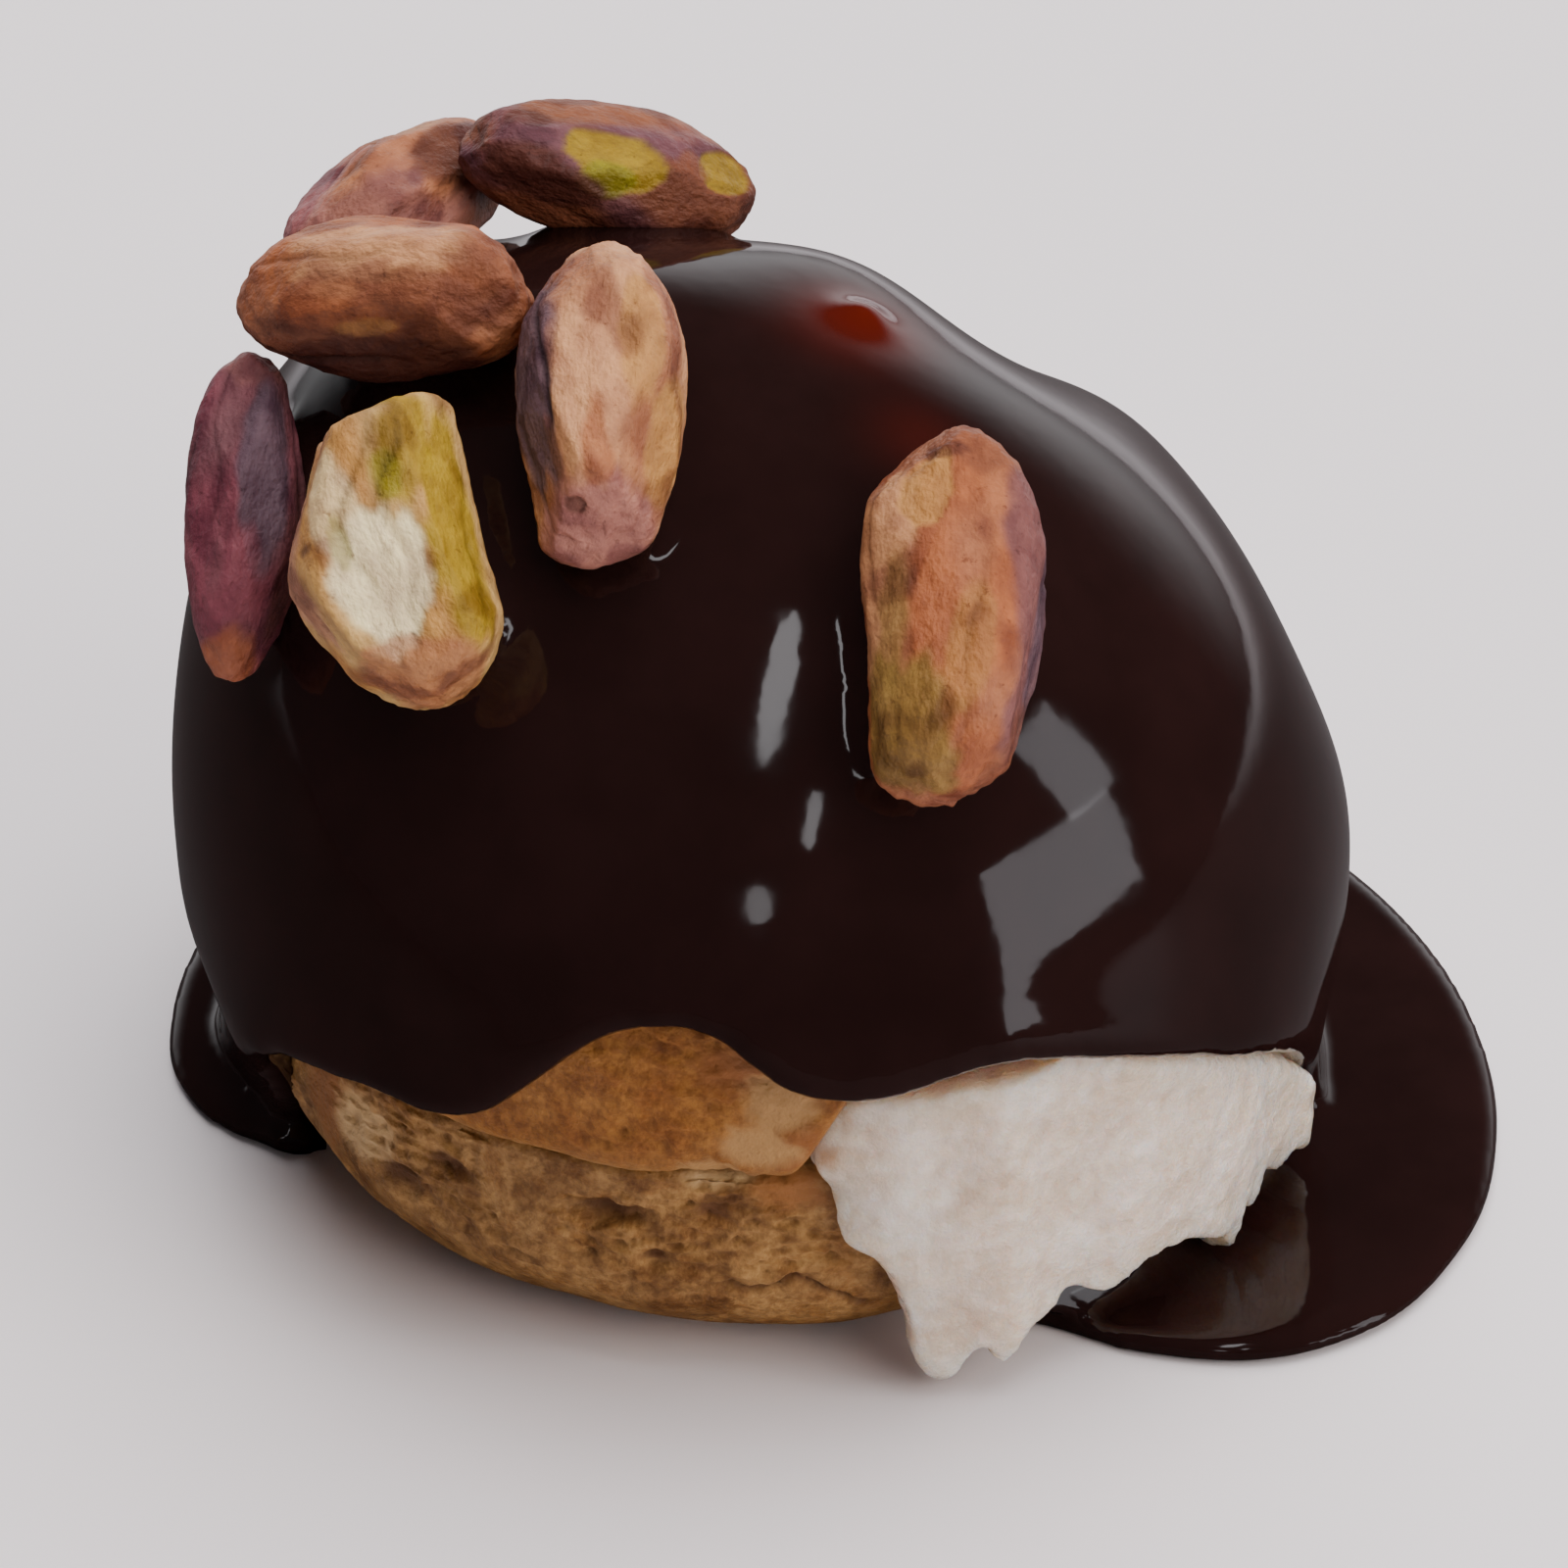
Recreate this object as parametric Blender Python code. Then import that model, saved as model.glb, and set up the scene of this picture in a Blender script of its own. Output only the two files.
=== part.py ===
# A glazed cream puff: a split choux bun filled with cream, poured over with dark
# chocolate and topped with pistachio kernels.
#
# Metres, +Z up. The origin is the centre of the flat spot under the bun. -Y is the
# side where the bun and the cream show below the chocolate.

from math import acos, cos, degrees, exp, hypot, pi, radians, sin, sqrt

import bmesh
import bpy
import numpy as np
from mathutils import Vector, noise

# Chocolate shell: an ellipsoid above its widest level, a longer one below it.
SHELL_RADIUS = 0.0243
SHELL_WIDEST_Z = 0.0140
SHELL_RISE = 0.0220
SHELL_FALL = 0.0300
SHELL_THICKNESS = 0.0016
# How the poured top departs from the ellipsoid: azimuth, angle from the top,
# angular reach (all in degrees) and height.
SHELL_SWELLS = (
    (163, 38, 30, 0.0043),
    (60, 8, 22, 0.0003),
    (48, 50, 31, -0.00245),
    (46, 38, 10, -0.0004),
    (35, 47.5, 12.5, 0.0008),
    (71, 23, 11, 0.0010),
    (10, 73, 17, -0.0011),
)
# Lower edge of the shell: azimuth in degrees (-90 is the front) and height. Round
# the back the chocolate runs down into its foot.
FOOT_JOIN_Z = 0.0006
SHELL_EDGE = (
    (-170, FOOT_JOIN_Z),
    (-163, 0.0030),
    (-154, 0.0082),
    (-144, 0.0120),
    (-131, 0.0136),
    (-119, 0.0142),
    (-105, 0.0190),
    (-96, 0.0194),
    (-87, 0.0170),
    (-80, 0.0166),
    (-68, 0.0172),
    (-55, 0.0158),
    (-44, 0.0138),
    (-33, 0.0112),
    (-24, 0.0082),
    (-15, 0.0042),
    (-5, FOOT_JOIN_Z),
)
BEAD_SWELL = 0.0004
BEAD_REACH = 0.0030
BEAD_ROUND = 0.0007
# The glaze stands out in a skirt between these two sides, and flares over its foot.
SKIRT_SWELL = 0.0006
SKIRT_TOP_Z = 0.0240
SKIRT_REACH = 0.0090
SKIRT_MOST = 1.3
SKIRT_SIDES = (-165, -12)
SKIRT_FADE = (28, 30)
FOOT_FLARE = 0.0020
FOOT_FLARE_REACH = 0.0052
SHELL_COLUMNS = 84
SHELL_OUTER_RINGS = 14
SHELL_INNER_RINGS = 7

# Chocolate that has run out round the bun: azimuth in degrees and outer radius.
FOOT_HEIGHT = 0.0011
FOOT_INNER_RADIUS = 0.0188
FOOT_RIM_ROUND = 0.0013
FOOT_COLUMNS = 60
FOOT_OUTLINE = (
    (-58, 0.0205),
    (-52, 0.0240),
    (-45, 0.0277),
    (-36, 0.0302),
    (-23, 0.0311),
    (-8, 0.0308),
    (8, 0.0300),
    (45, 0.0282),
    (90, 0.0270),
    (135, 0.0262),
    (170, 0.0256),
    (182, 0.0248),
    (190, 0.0232),
    (196, 0.0212),
)
# The foot climbs a little against the bun behind the cream.
FOOT_CLIMB_RADIUS = 0.0204
FOOT_CLIMB_Z = 0.0021

# Bun: the bottom half rests on a flat spot, the lid sits tilted on the cream.
FLAT_SPOT_RADIUS = 0.0140
BUN_RADIUS = 0.0209
BUN_WIDEST_Z = 0.0062
BUN_LEAN = 0.0003
BUN_UNEVEN = 0.0003
BUN_CUT_Z = 0.0109
BUN_CUT_SLOPE = 0.03
BUN_RIM_ROUND = 0.0011
# Pits where the crust has torn: azimuth, height, half width and depth.
CRUST_PITS = (
    (-111, 0.0078, 0.0014, 0.0007),
    (-107, 0.0052, 0.0010, 0.0005),
    (-139, 0.0052, 0.0014, 0.0006),
)
LID_CUT_Z = 0.0144
LID_CUT_SLOPE = 0.17
LID_RIM_ROUND = 0.0010
LIP_START_RADIUS = 0.0190
LIP_RUN = 0.0016
CRUST_COLUMNS = 60
GAP = 0.00032
LID_CLEARANCE = 0.0006

# Cream: a wedge between the halves and a curtain that hangs out on the right.
CREAM_LEFT_RADIUS = 0.0130
CREAM_RIGHT_RADIUS = 0.0193
CURTAIN_RADIUS = 0.0233
CURTAIN_SIDES = (-85, -6)
CURTAIN_FADE = 7
CURTAIN_EDGE_Z = 0.0033
CURTAIN_UNEVEN = 0.0003
CURTAIN_TUCK = 0.0012
CURTAIN_SAG = 0.0004
# How far the wedge's rings stand inside its rim.
WEDGE_RINGS = (0.0020, 0.0015, 0.0005)
WEDGE_TOP_RING = 0.0006
# Ragged lower edge: azimuth in degrees, half width in degrees and reach downwards.
CURTAIN_DRIPS = (
    (-71.5, 3.0, 0.0034),
    (-65.0, 1.8, 0.0022),
    (-59.0, 2.2, 0.0004),
    (-50.5, 2.4, -0.0009),
    (-36.5, 1.5, 0.0015),
    (-27.0, 2.6, -0.0003),
)
CURTAIN_FOLDS = ((-66, 3.0, 0.0005), (-57, 3.0, -0.0005), (-30, 4.0, -0.0005))

# Kernels: azimuth, angle from the top, heading of the first end (0 is downhill) and
# lift of the first end, in degrees, then length, width, thickness, depth in the
# chocolate, and how blunt the first and the second end are (2 is round).
KERNELS = (
    (295, 38, 155, -1, 0.0155, 0.0077, 0.0074, 0.0010, 2.9, 3.6),
    (224, 20, 222, 6, 0.0142, 0.0073, 0.0066, 0.0009, 1.6, 3.3),
    (216, 40, 232, 0, 0.0132, 0.0082, 0.0078, 0.0010, 5.0, 2.9),
    (192, 48, 53, 1, 0.0140, 0.0047, 0.0052, 0.0008, 1.5, 2.4),
    (178, 31, 338, 4, 0.0132, 0.0069, 0.0067, 0.0008, 1.4, 2.8),
    (145, 38, 276, 8, 0.0135, 0.0062, 0.0062, 0.0008, 1.7, 1.9),
    (121, 28, 277, -10, 0.0145, 0.0062, 0.0056, 0.0007, 1.6, 2.3),
)
# Sides where a kernel is cut or flattened: direction along, across and up, and how
# far out the flat lies as a share of the half size.
KERNEL_CUTS = (
    (((0.2, 0.25, 1), 0.93), ((0.9, 0.5, 0.2), 0.92), ((-0.2, -1, 0.4), 0.92)),
    (((-1, -0.1, 0.25), 0.86), ((-0.5, 0.9, 0.5), 0.84), ((-0.75, -0.7, 0.2), 0.95)),
    (((1, 0.12, 0.2), 0.84), ((-0.3, -0.35, 0.9), 0.82), ((0.1, -1, 0.2), 0.84), ((-0.9, 0.3, 0.2), 0.92)),
    (((0, 0.9, 0.3), 0.86), ((0, 0.2, 1), 0.88)),
    (((0, 0.5, 0.8), 0.9), ((-0.8, 0.4, 0.4), 0.93)),
    (((0, -0.8, 0.5), 0.88), ((0.3, 0.2, 1), 0.92)),
    (((-0.2, -0.9, 0.35), 0.86), ((-0.3, -0.3, 1), 0.9), ((-1, 0, 0.2), 0.93)),
)
KERNEL_FULLNESS = 0.50
KERNEL_RIDGES = (0.04, 0.03)
KERNEL_BEND = 0.04
KERNEL_SWOLLEN = 1.05
KERNEL_FACETS = 12
FACET_LEAN = 0.7
FACET_LIMITS = (0.84, 0.96)
FACET_SEED = 50
KERNEL_RINGS = 13
KERNEL_SIDES = 14

CHOCOLATE = (0.020, 0.007, 0.005)
CRUST = (0.56, 0.34, 0.14)
CRUST_GOLD = (0.62, 0.36, 0.13)
CREAM = (0.80, 0.76, 0.72)
KERNEL_SKIN = (0.38, 0.19, 0.13)


def clear_scene():
    for old in list(bpy.data.objects):
        bpy.data.objects.remove(old)


def smooth(value):
    t = min(max(value, 0.0), 1.0)
    return t * t * (3 - 2 * t)


def mix(a, b, t):
    return a + (b - a) * t


def angle_between(a, b):
    return abs((a - b + 180) % 360 - 180)


def outline_slope(outline, i):
    # Slope of the smooth curve at an outline's point; it is level at both ends.
    if i in (0, len(outline) - 1):
        return 0.0
    (a0, v0), (a1, v1), (a2, v2) = outline[i - 1:i + 2]
    before = a1 - a0
    after = a2 - a1
    rise = before * before * (v2 - v1) + after * after * (v1 - v0)
    return rise / (before * after * (before + after))


def along_outline(outline, azimuth):
    # Value at an azimuth, on a smooth curve through the outline's points.
    start = outline[0][0]
    turned = start + (azimuth - start) % 360
    for i in range(len(outline) - 1):
        (a0, v0), (a1, v1) = outline[i:i + 2]
        if turned <= a1:
            t = (turned - a0) / (a1 - a0)
            leave = (t ** 3 - 2 * t ** 2 + t) * outline_slope(outline, i)
            arrive = (t ** 3 - t ** 2) * outline_slope(outline, i + 1)
            return mix(v0, v1, smooth(t)) + (a1 - a0) * (leave + arrive)
    return None


def direction(azimuth, polar):
    a = radians(azimuth)
    t = radians(polar)
    return Vector((sin(t) * cos(a), sin(t) * sin(a), cos(t)))


def shell_point(azimuth, polar, offset=0.0):
    # Point of the shell's outer surface, moved out by offset.
    d = direction(azimuth, polar)
    half_height = SHELL_RISE if d.z > 0 else SHELL_FALL
    point = Vector((d.x * SHELL_RADIUS, d.y * SHELL_RADIUS, d.z * half_height))
    normal = Vector((d.x / SHELL_RADIUS, d.y / SHELL_RADIUS, d.z / half_height)).normalized()
    swell = 0.0
    for swell_azimuth, swell_polar, reach, height in SHELL_SWELLS:
        away = degrees(d.angle(direction(swell_azimuth, swell_polar), 0.0))
        swell += height * exp(-((away / reach) ** 2))
    return point + normal * (swell + offset) + Vector((0, 0, SHELL_WIDEST_Z))


def polar_at_height(height):
    # Angle from the top where the shell's ellipsoid reaches a height.
    rise = height - SHELL_WIDEST_Z
    half_height = SHELL_RISE if rise > 0 else SHELL_FALL
    return degrees(acos(rise / half_height))


def edge_height(azimuth):
    height = along_outline(SHELL_EDGE, azimuth)
    return FOOT_JOIN_Z if height is None else height


def ripple(azimuth, height, size, seed):
    a = radians(azimuth)
    place = Vector((cos(a), sin(a), height / BUN_RADIUS)) * size
    return noise.noise(place + Vector((seed, 0, 0)))


def make_material(name, colour, roughness):
    material = bpy.data.materials.new(name)
    material.use_nodes = True
    shader = material.node_tree.nodes["Principled BSDF"]
    shader.inputs["Base Color"].default_value = (*colour, 1)
    shader.inputs["Roughness"].default_value = roughness
    shader.inputs["Metallic"].default_value = 0.0
    return material


def make_object(name, mesh, material):
    mesh.shade_smooth()
    mesh.set_sharp_from_angle(angle=radians(50))
    mesh.materials.append(material)
    piece = bpy.data.objects.new(name, mesh)
    bpy.context.scene.collection.objects.link(piece)
    return piece


def skin_columns(name, columns, poles, material):
    # Closed body from columns of points round an axis, closed by a pole at each end.
    bm = bmesh.new()
    rings = []
    for level in range(len(columns[0])):
        rings.append([bm.verts.new(column[level]) for column in columns])
    for lower, upper in zip(rings, rings[1:]):
        for i in range(len(columns)):
            j = (i + 1) % len(columns)
            bm.faces.new((lower[i], lower[j], upper[j], upper[i]))
    for ring, pole in ((rings[0], poles[0]), (rings[-1], poles[1])):
        tip = bm.verts.new(pole)
        for i in range(len(ring)):
            bm.faces.new((ring[i], ring[(i + 1) % len(ring)], tip))
    return finish_body(name, bm, material)


def finish_body(name, bm, material):
    bmesh.ops.recalc_face_normals(bm, faces=bm.faces)
    mesh = bpy.data.meshes.new(name)
    bm.to_mesh(mesh)
    bm.free()
    return make_object(name, mesh, material)


def on_ring(azimuth, radius, height):
    a = radians(azimuth)
    return Vector((radius * cos(a), radius * sin(a), height))


def bun_cut_height(x):
    return BUN_CUT_Z + BUN_CUT_SLOPE * x


def lid_cut_height(x):
    return LID_CUT_Z + LID_CUT_SLOPE * x


def bun_radius(azimuth, height):
    # The side of the bottom half: a round flank, wider at the front left.
    lean = BUN_LEAN * cos(radians(azimuth + 140))
    widest = BUN_RADIUS + lean + BUN_UNEVEN * ripple(azimuth, height, 2.2, 3.0)
    if height < BUN_WIDEST_Z:
        fall = (BUN_WIDEST_Z - height) / BUN_WIDEST_Z
        round_part = sqrt(max(0.0, 1 - fall * fall))
        return mix(FLAT_SPOT_RADIUS, widest, round_part)
    return widest - BUN_UNEVEN * ((height - BUN_WIDEST_Z) / BUN_WIDEST_Z) ** 2


def pit_depth(azimuth, height):
    total = 0.0
    for pit_azimuth, pit_height, reach, depth in CRUST_PITS:
        sideways = radians(angle_between(azimuth, pit_azimuth)) * BUN_RADIUS
        away = hypot(sideways, height - pit_height) / reach
        total += depth * exp(-away * away)
    return total


def on_bun_cut(azimuth, radius):
    return on_ring(azimuth, radius, bun_cut_height(radius * cos(radians(azimuth))))


def make_base_crust(material):
    columns = []
    flank_rings = 6
    side_rings = 3
    for i in range(CRUST_COLUMNS):
        azimuth = 360 * i / CRUST_COLUMNS
        top = bun_cut_height(BUN_RADIUS * cos(radians(azimuth)))
        side_top = top - BUN_RIM_ROUND * 0.6
        heights = [BUN_WIDEST_Z * (1 - cos(radians(90 * k / flank_rings))) for k in range(flank_rings + 1)]
        heights += [mix(BUN_WIDEST_Z, side_top, k / side_rings) for k in range(1, side_rings + 1)]
        column = [on_ring(azimuth, FLAT_SPOT_RADIUS / 2, 0.0)]
        for height in heights:
            column.append(on_ring(azimuth, bun_radius(azimuth, height) - pit_depth(azimuth, height), height))
        rim = bun_radius(azimuth, top)
        column.append(on_ring(azimuth, rim - BUN_RIM_ROUND * 0.3, top - BUN_RIM_ROUND * 0.2))
        column.append(on_bun_cut(azimuth, rim - BUN_RIM_ROUND))
        column.append(on_bun_cut(azimuth, rim / 2))
        columns.append(column)
    return skin_columns("base_crust", columns, ((0, 0, 0), (0, 0, bun_cut_height(0))), material)


def lid_underside(azimuth, radius):
    # The cut face of the lid, with a lip that comes down on the bottom half where no
    # cream parts them.
    x = radius * cos(radians(azimuth))
    open_height = lid_cut_height(x)
    shut = smooth(angle_between(azimuth, -40) / 40 - 1.1)
    lip = smooth((radius - LIP_START_RADIUS) / LIP_RUN) * shut
    return mix(open_height, min(open_height, bun_cut_height(x) + GAP), lip)


def make_lid_crust(material):
    depth = -(SHELL_THICKNESS + LID_CLEARANCE)
    columns = []
    dome_rings = 9
    for i in range(CRUST_COLUMNS):
        azimuth = 360 * i / CRUST_COLUMNS
        bottom = lid_underside(azimuth, SHELL_RADIUS + depth)
        side_end = polar_at_height(bottom + LID_RIM_ROUND)
        column = []
        for k in range(1, dome_rings + 1):
            column.append(shell_point(azimuth, side_end * k / dome_rings, depth))
        rim = column[-1]
        outer = rim.xy.length
        for inset, drop in ((0.3, 0.6), (1.0, 1.0)):
            radius = outer - inset * LID_RIM_ROUND
            floor = lid_underside(azimuth, radius)
            column.append(on_ring(azimuth, radius, mix(rim.z, floor, drop)))
        for share in (1.0, 0.65, 0.3):
            radius = LIP_START_RADIUS * share
            column.append(on_ring(azimuth, radius, lid_underside(azimuth, radius)))
        columns.append(column)
    top = shell_point(0, 0, depth)
    return skin_columns("lid_crust", columns, (top, (0, 0, lid_cut_height(0))), material)


def curtain_weight(azimuth):
    # How fully the curtain hangs at an azimuth: it fades in and out at its two sides.
    start, end = CURTAIN_SIDES
    return min(smooth((azimuth - start) / CURTAIN_FADE), smooth((end - azimuth) / CURTAIN_FADE))


def curtain_low(azimuth):
    low = CURTAIN_EDGE_Z + CURTAIN_UNEVEN * ripple(azimuth, 0, 9.0, 8.0)
    for drip_azimuth, half_width, reach in CURTAIN_DRIPS:
        low -= reach * exp(-((azimuth - drip_azimuth) / half_width) ** 2)
    return max(low, 0.0)


def curtain_radius(azimuth, height):
    fold = 0.0
    for fold_azimuth, half_width, depth in CURTAIN_FOLDS:
        fold += depth * exp(-((azimuth - fold_azimuth) / half_width) ** 2)
    belly = CURTAIN_SAG * sin(pi * smooth(height / LID_CUT_Z))
    tip = CURTAIN_SAG * smooth(1 - height / CURTAIN_EDGE_Z)
    return CURTAIN_RADIUS + fold + belly - tip


def cream_azimuths():
    # Columns stand close together along the curtain, and wide apart elsewhere.
    first, last = -96.0, -1.5
    fine_columns, coarse_columns = 42, 29
    fine = [mix(first, last, i / fine_columns) for i in range(fine_columns + 1)]
    coarse = [mix(last, first + 360, i / coarse_columns) for i in range(1, coarse_columns)]
    return fine + coarse


def cream_disc_radius(azimuth):
    spread = smooth(1.35 - angle_between(azimuth, -35) / 95)
    return mix(CREAM_LEFT_RADIUS, CREAM_RIGHT_RADIUS, spread)


def under_lid(azimuth, radius):
    return on_ring(azimuth, radius, lid_cut_height(radius * cos(radians(azimuth))) - GAP)


def over_bun(azimuth, radius):
    return on_ring(azimuth, radius, bun_cut_height(radius * cos(radians(azimuth))) + GAP)


def make_cream(material):
    # Each column runs from the middle over the bun, down the back of the curtain,
    # round its lower edge, up its front and back to the middle under the lid.
    columns = []
    back_rings = 5
    front_rings = 6
    hidden_radius = SHELL_RADIUS - SHELL_THICKNESS - GAP
    for azimuth in cream_azimuths():
        disc = cream_disc_radius(azimuth)
        hang = curtain_weight(azimuth)
        out = smooth(hang * 2)
        down = smooth(hang * 2 - 1)
        floor = over_bun(azimuth, disc).z
        roof = under_lid(azimuth, disc).z
        low = mix(floor, curtain_low(azimuth), down)
        inner_ring, start_ring, end_ring = WEDGE_RINGS
        column = [over_bun(azimuth, disc / 2), over_bun(azimuth, disc - inner_ring)]
        bun_side = bun_radius(azimuth, BUN_WIDEST_Z) + GAP * 1.3
        for k in range(back_rings):
            step = k / (back_rings - 1)
            radius = mix(disc - mix(start_ring, end_ring, step), bun_side, out)
            column.append(on_ring(azimuth, radius, mix(floor, low + CURTAIN_SAG * 1.5 * down, step)))
        edge_radius = mix(disc, curtain_radius(azimuth, low), out)
        column.append(on_ring(azimuth, mix(column[-1].xy.length, edge_radius, 0.5), low))
        cover = edge_height(azimuth) - GAP
        top = mix(roof, min(roof, cover), out)
        for k in range(front_rings):
            height = mix(low + CURTAIN_SAG, top, k / (front_rings - 1))
            radius = curtain_radius(azimuth, height)
            tucked = smooth(1 - (cover - height) / CURTAIN_TUCK)
            radius = mix(radius, min(radius, hidden_radius), tucked)
            column.append(on_ring(azimuth, mix(disc, radius, out), height))
        column.append(under_lid(azimuth, disc - WEDGE_TOP_RING))
        column.append(under_lid(azimuth, disc / 2))
        columns.append(column)
    poles = ((0, 0, bun_cut_height(0) + GAP), (0, 0, lid_cut_height(0) - GAP))
    return skin_columns("cream_filling", columns, poles, material)


def shell_spread(azimuth, height):
    # How far the glaze stands out past the ellipsoid at a height.
    start, end = SKIRT_SIDES
    start_fade, end_fade = SKIRT_FADE
    in_front = smooth((azimuth - start) / start_fade) * smooth((end - azimuth) / end_fade)
    hang = min(max((SKIRT_TOP_Z - height) / SKIRT_REACH, 0.0), SKIRT_MOST)
    flare = min(max(1 - (height - FOOT_JOIN_Z) / FOOT_FLARE_REACH, 0.0), 1.0)
    return SKIRT_SWELL * in_front * hang ** 2 + FOOT_FLARE * flare ** 2


def make_shell(material):
    # Each column runs from the top down the outside, round the rolled lower edge and
    # up the inside.
    columns = []
    for i in range(SHELL_COLUMNS):
        azimuth = 360 * i / SHELL_COLUMNS - 180
        edge = edge_height(azimuth)
        edge_polar = polar_at_height(edge)
        free = smooth((edge - FOOT_JOIN_Z) / FOOT_FLARE_REACH)
        column = []
        for k in range(1, SHELL_OUTER_RINGS + 1):
            # Rings crowd towards the lower edge.
            polar = edge_polar * (1 - (1 - k / SHELL_OUTER_RINGS) ** 1.25)
            height = shell_point(azimuth, polar).z
            bead = BEAD_SWELL * free * smooth(1 - (height - edge) / BEAD_REACH)
            column.append(shell_point(azimuth, polar, bead + shell_spread(azimuth, height)))
        outer = column.pop().xy.length
        column.append(on_ring(azimuth, outer - BEAD_ROUND * 0.15, edge + BEAD_ROUND * 0.8))
        column.append(on_ring(azimuth, outer - BEAD_ROUND, edge))
        column.append(on_ring(azimuth, outer - BEAD_ROUND * 2.3, edge + BEAD_ROUND * 0.15))
        inner_polar = polar_at_height(edge + BEAD_ROUND * 1.3)
        for k in range(SHELL_INNER_RINGS):
            polar = inner_polar * (1 - k / SHELL_INNER_RINGS)
            column.append(shell_point(azimuth, polar, -SHELL_THICKNESS))
        columns.append(column)
    poles = (shell_point(0, 0), shell_point(0, 0, -SHELL_THICKNESS))
    return skin_columns("chocolate_coat", columns, poles, material)


def make_foot(material):
    # A low slab with a rounded rim, bent round the bun and closed at both ends.
    bm = bmesh.new()
    first = FOOT_OUTLINE[0][0]
    last = FOOT_OUTLINE[-1][0]
    sections = []
    for i in range(FOOT_COLUMNS + 1):
        azimuth = mix(first, last, i / FOOT_COLUMNS)
        outer = along_outline(FOOT_OUTLINE, azimuth)
        flat_end = max(outer - FOOT_RIM_ROUND, FOOT_CLIMB_RADIUS + FOOT_RIM_ROUND * 1.5)
        profile = (
            (FOOT_INNER_RADIUS, 0.0),
            (outer - FOOT_RIM_ROUND * 0.3, 0.0),
            (outer, FOOT_HEIGHT * 0.35),
            (outer - FOOT_RIM_ROUND * 0.3, FOOT_HEIGHT * 0.75),
            (flat_end, FOOT_HEIGHT),
            (FOOT_CLIMB_RADIUS + FOOT_RIM_ROUND * 1.3, FOOT_HEIGHT * 1.15),
            (FOOT_CLIMB_RADIUS + FOOT_RIM_ROUND * 0.25, FOOT_CLIMB_Z),
            (FOOT_CLIMB_RADIUS, FOOT_CLIMB_Z - FOOT_RIM_ROUND * 0.25),
            (FOOT_INNER_RADIUS, FOOT_HEIGHT / 2),
        )
        sections.append([bm.verts.new(on_ring(azimuth, r, z)) for r, z in profile])
    for before, after in zip(sections, sections[1:]):
        for k in range(len(before)):
            n = (k + 1) % len(before)
            bm.faces.new((before[k], before[n], after[n], after[k]))
    bm.faces.new(sections[0])
    bm.faces.new(sections[-1])
    return finish_body("chocolate_foot", bm, material)


def kernel_frame(kernel):
    # Where a kernel lies: its middle, and the directions along, across and up.
    azimuth, polar, heading, lift, length, width, thickness, depth = kernel[:8]
    spot = shell_point(azimuth, polar)
    downhill = (shell_point(azimuth, polar + 0.5) - spot).normalized()
    sideways = (shell_point(azimuth + 0.5, polar) - spot).normalized()
    up = downhill.cross(sideways).normalized()
    sideways = up.cross(downhill)
    turn = radians(heading)
    rise = radians(lift)
    flat = downhill * cos(turn) + sideways * sin(turn)
    along = flat * cos(rise) + up * sin(rise)
    across = up.cross(flat)
    middle = spot + up * (thickness / 2 - depth + abs(sin(rise)) * length * 0.1)
    return middle, along, across, along.cross(across)


def kernel_flats(number):
    # The flattened sides of a kernel: scattered ones first, then its own cuts.
    chance = np.random.default_rng(FACET_SEED + number)
    flats = []
    for _ in range(KERNEL_FACETS):
        turn = chance.uniform(0, 2 * pi)
        side = Vector((chance.uniform(-FACET_LEAN, FACET_LEAN), cos(turn), sin(turn)))
        flats.append((side.normalized(), chance.uniform(*FACET_LIMITS)))
    for side, limit in KERNEL_CUTS[number - 1]:
        flats.append((Vector(side).normalized(), limit))
    return flats


def make_kernel(name, kernel, number, grow, material):
    length, width, thickness = kernel[4:7]
    blunt_first, blunt_second = kernel[8:10]
    middle, along, across, up = kernel_frame(kernel)
    two_ridges, three_ridges = KERNEL_RIDGES
    bend_depth = KERNEL_BEND * length * cos(number)
    flats = kernel_flats(number)

    def place(share, turn, fat):
        ridge = 1 + two_ridges * cos(2 * turn + number)
        ridge += three_ridges * cos(3 * turn + 2 * number + 3 * share)
        round_size = KERNEL_SWOLLEN * fat * ridge
        own = Vector((share, cos(turn) * round_size, sin(turn) * round_size))
        for side, limit in flats:
            own -= side * max(own.dot(side) - limit, 0.0)
        round_part = Vector((own.y * width / 2, own.z * thickness / 2))
        if fat > 0:
            round_part += round_part.normalized() * grow
        bend = bend_depth * (share * share - 0.4)
        sideways = across * (round_part.x + bend) + up * round_part.y
        return middle + along * own.x * (length / 2 + grow) + sideways

    columns = []
    for j in range(KERNEL_SIDES):
        turn = 2 * pi * j / KERNEL_SIDES
        column = []
        for i in range(1, KERNEL_RINGS):
            share = -cos(pi * i / KERNEL_RINGS)
            blunt = blunt_first if share > 0 else blunt_second
            column.append(place(share, turn, (1 - abs(share) ** blunt) ** KERNEL_FULLNESS))
        columns.append(column)
    return skin_columns(name, columns, (place(-1, 0, 0), place(1, 0, 0)), material)


def cut_seats(coat, cutters):
    # The kernels press seats into the chocolate.
    seats = bpy.data.collections.new("kernel_seats")
    bpy.context.scene.collection.children.link(seats)
    for cutter in cutters:
        bpy.context.scene.collection.objects.unlink(cutter)
        seats.objects.link(cutter)
        cutter.hide_render = True
        cutter.display_type = 'WIRE'
    cut = coat.modifiers.new("kernel seats", 'BOOLEAN')
    cut.operation = 'DIFFERENCE'
    cut.operand_type = 'COLLECTION'
    cut.collection = seats


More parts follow.
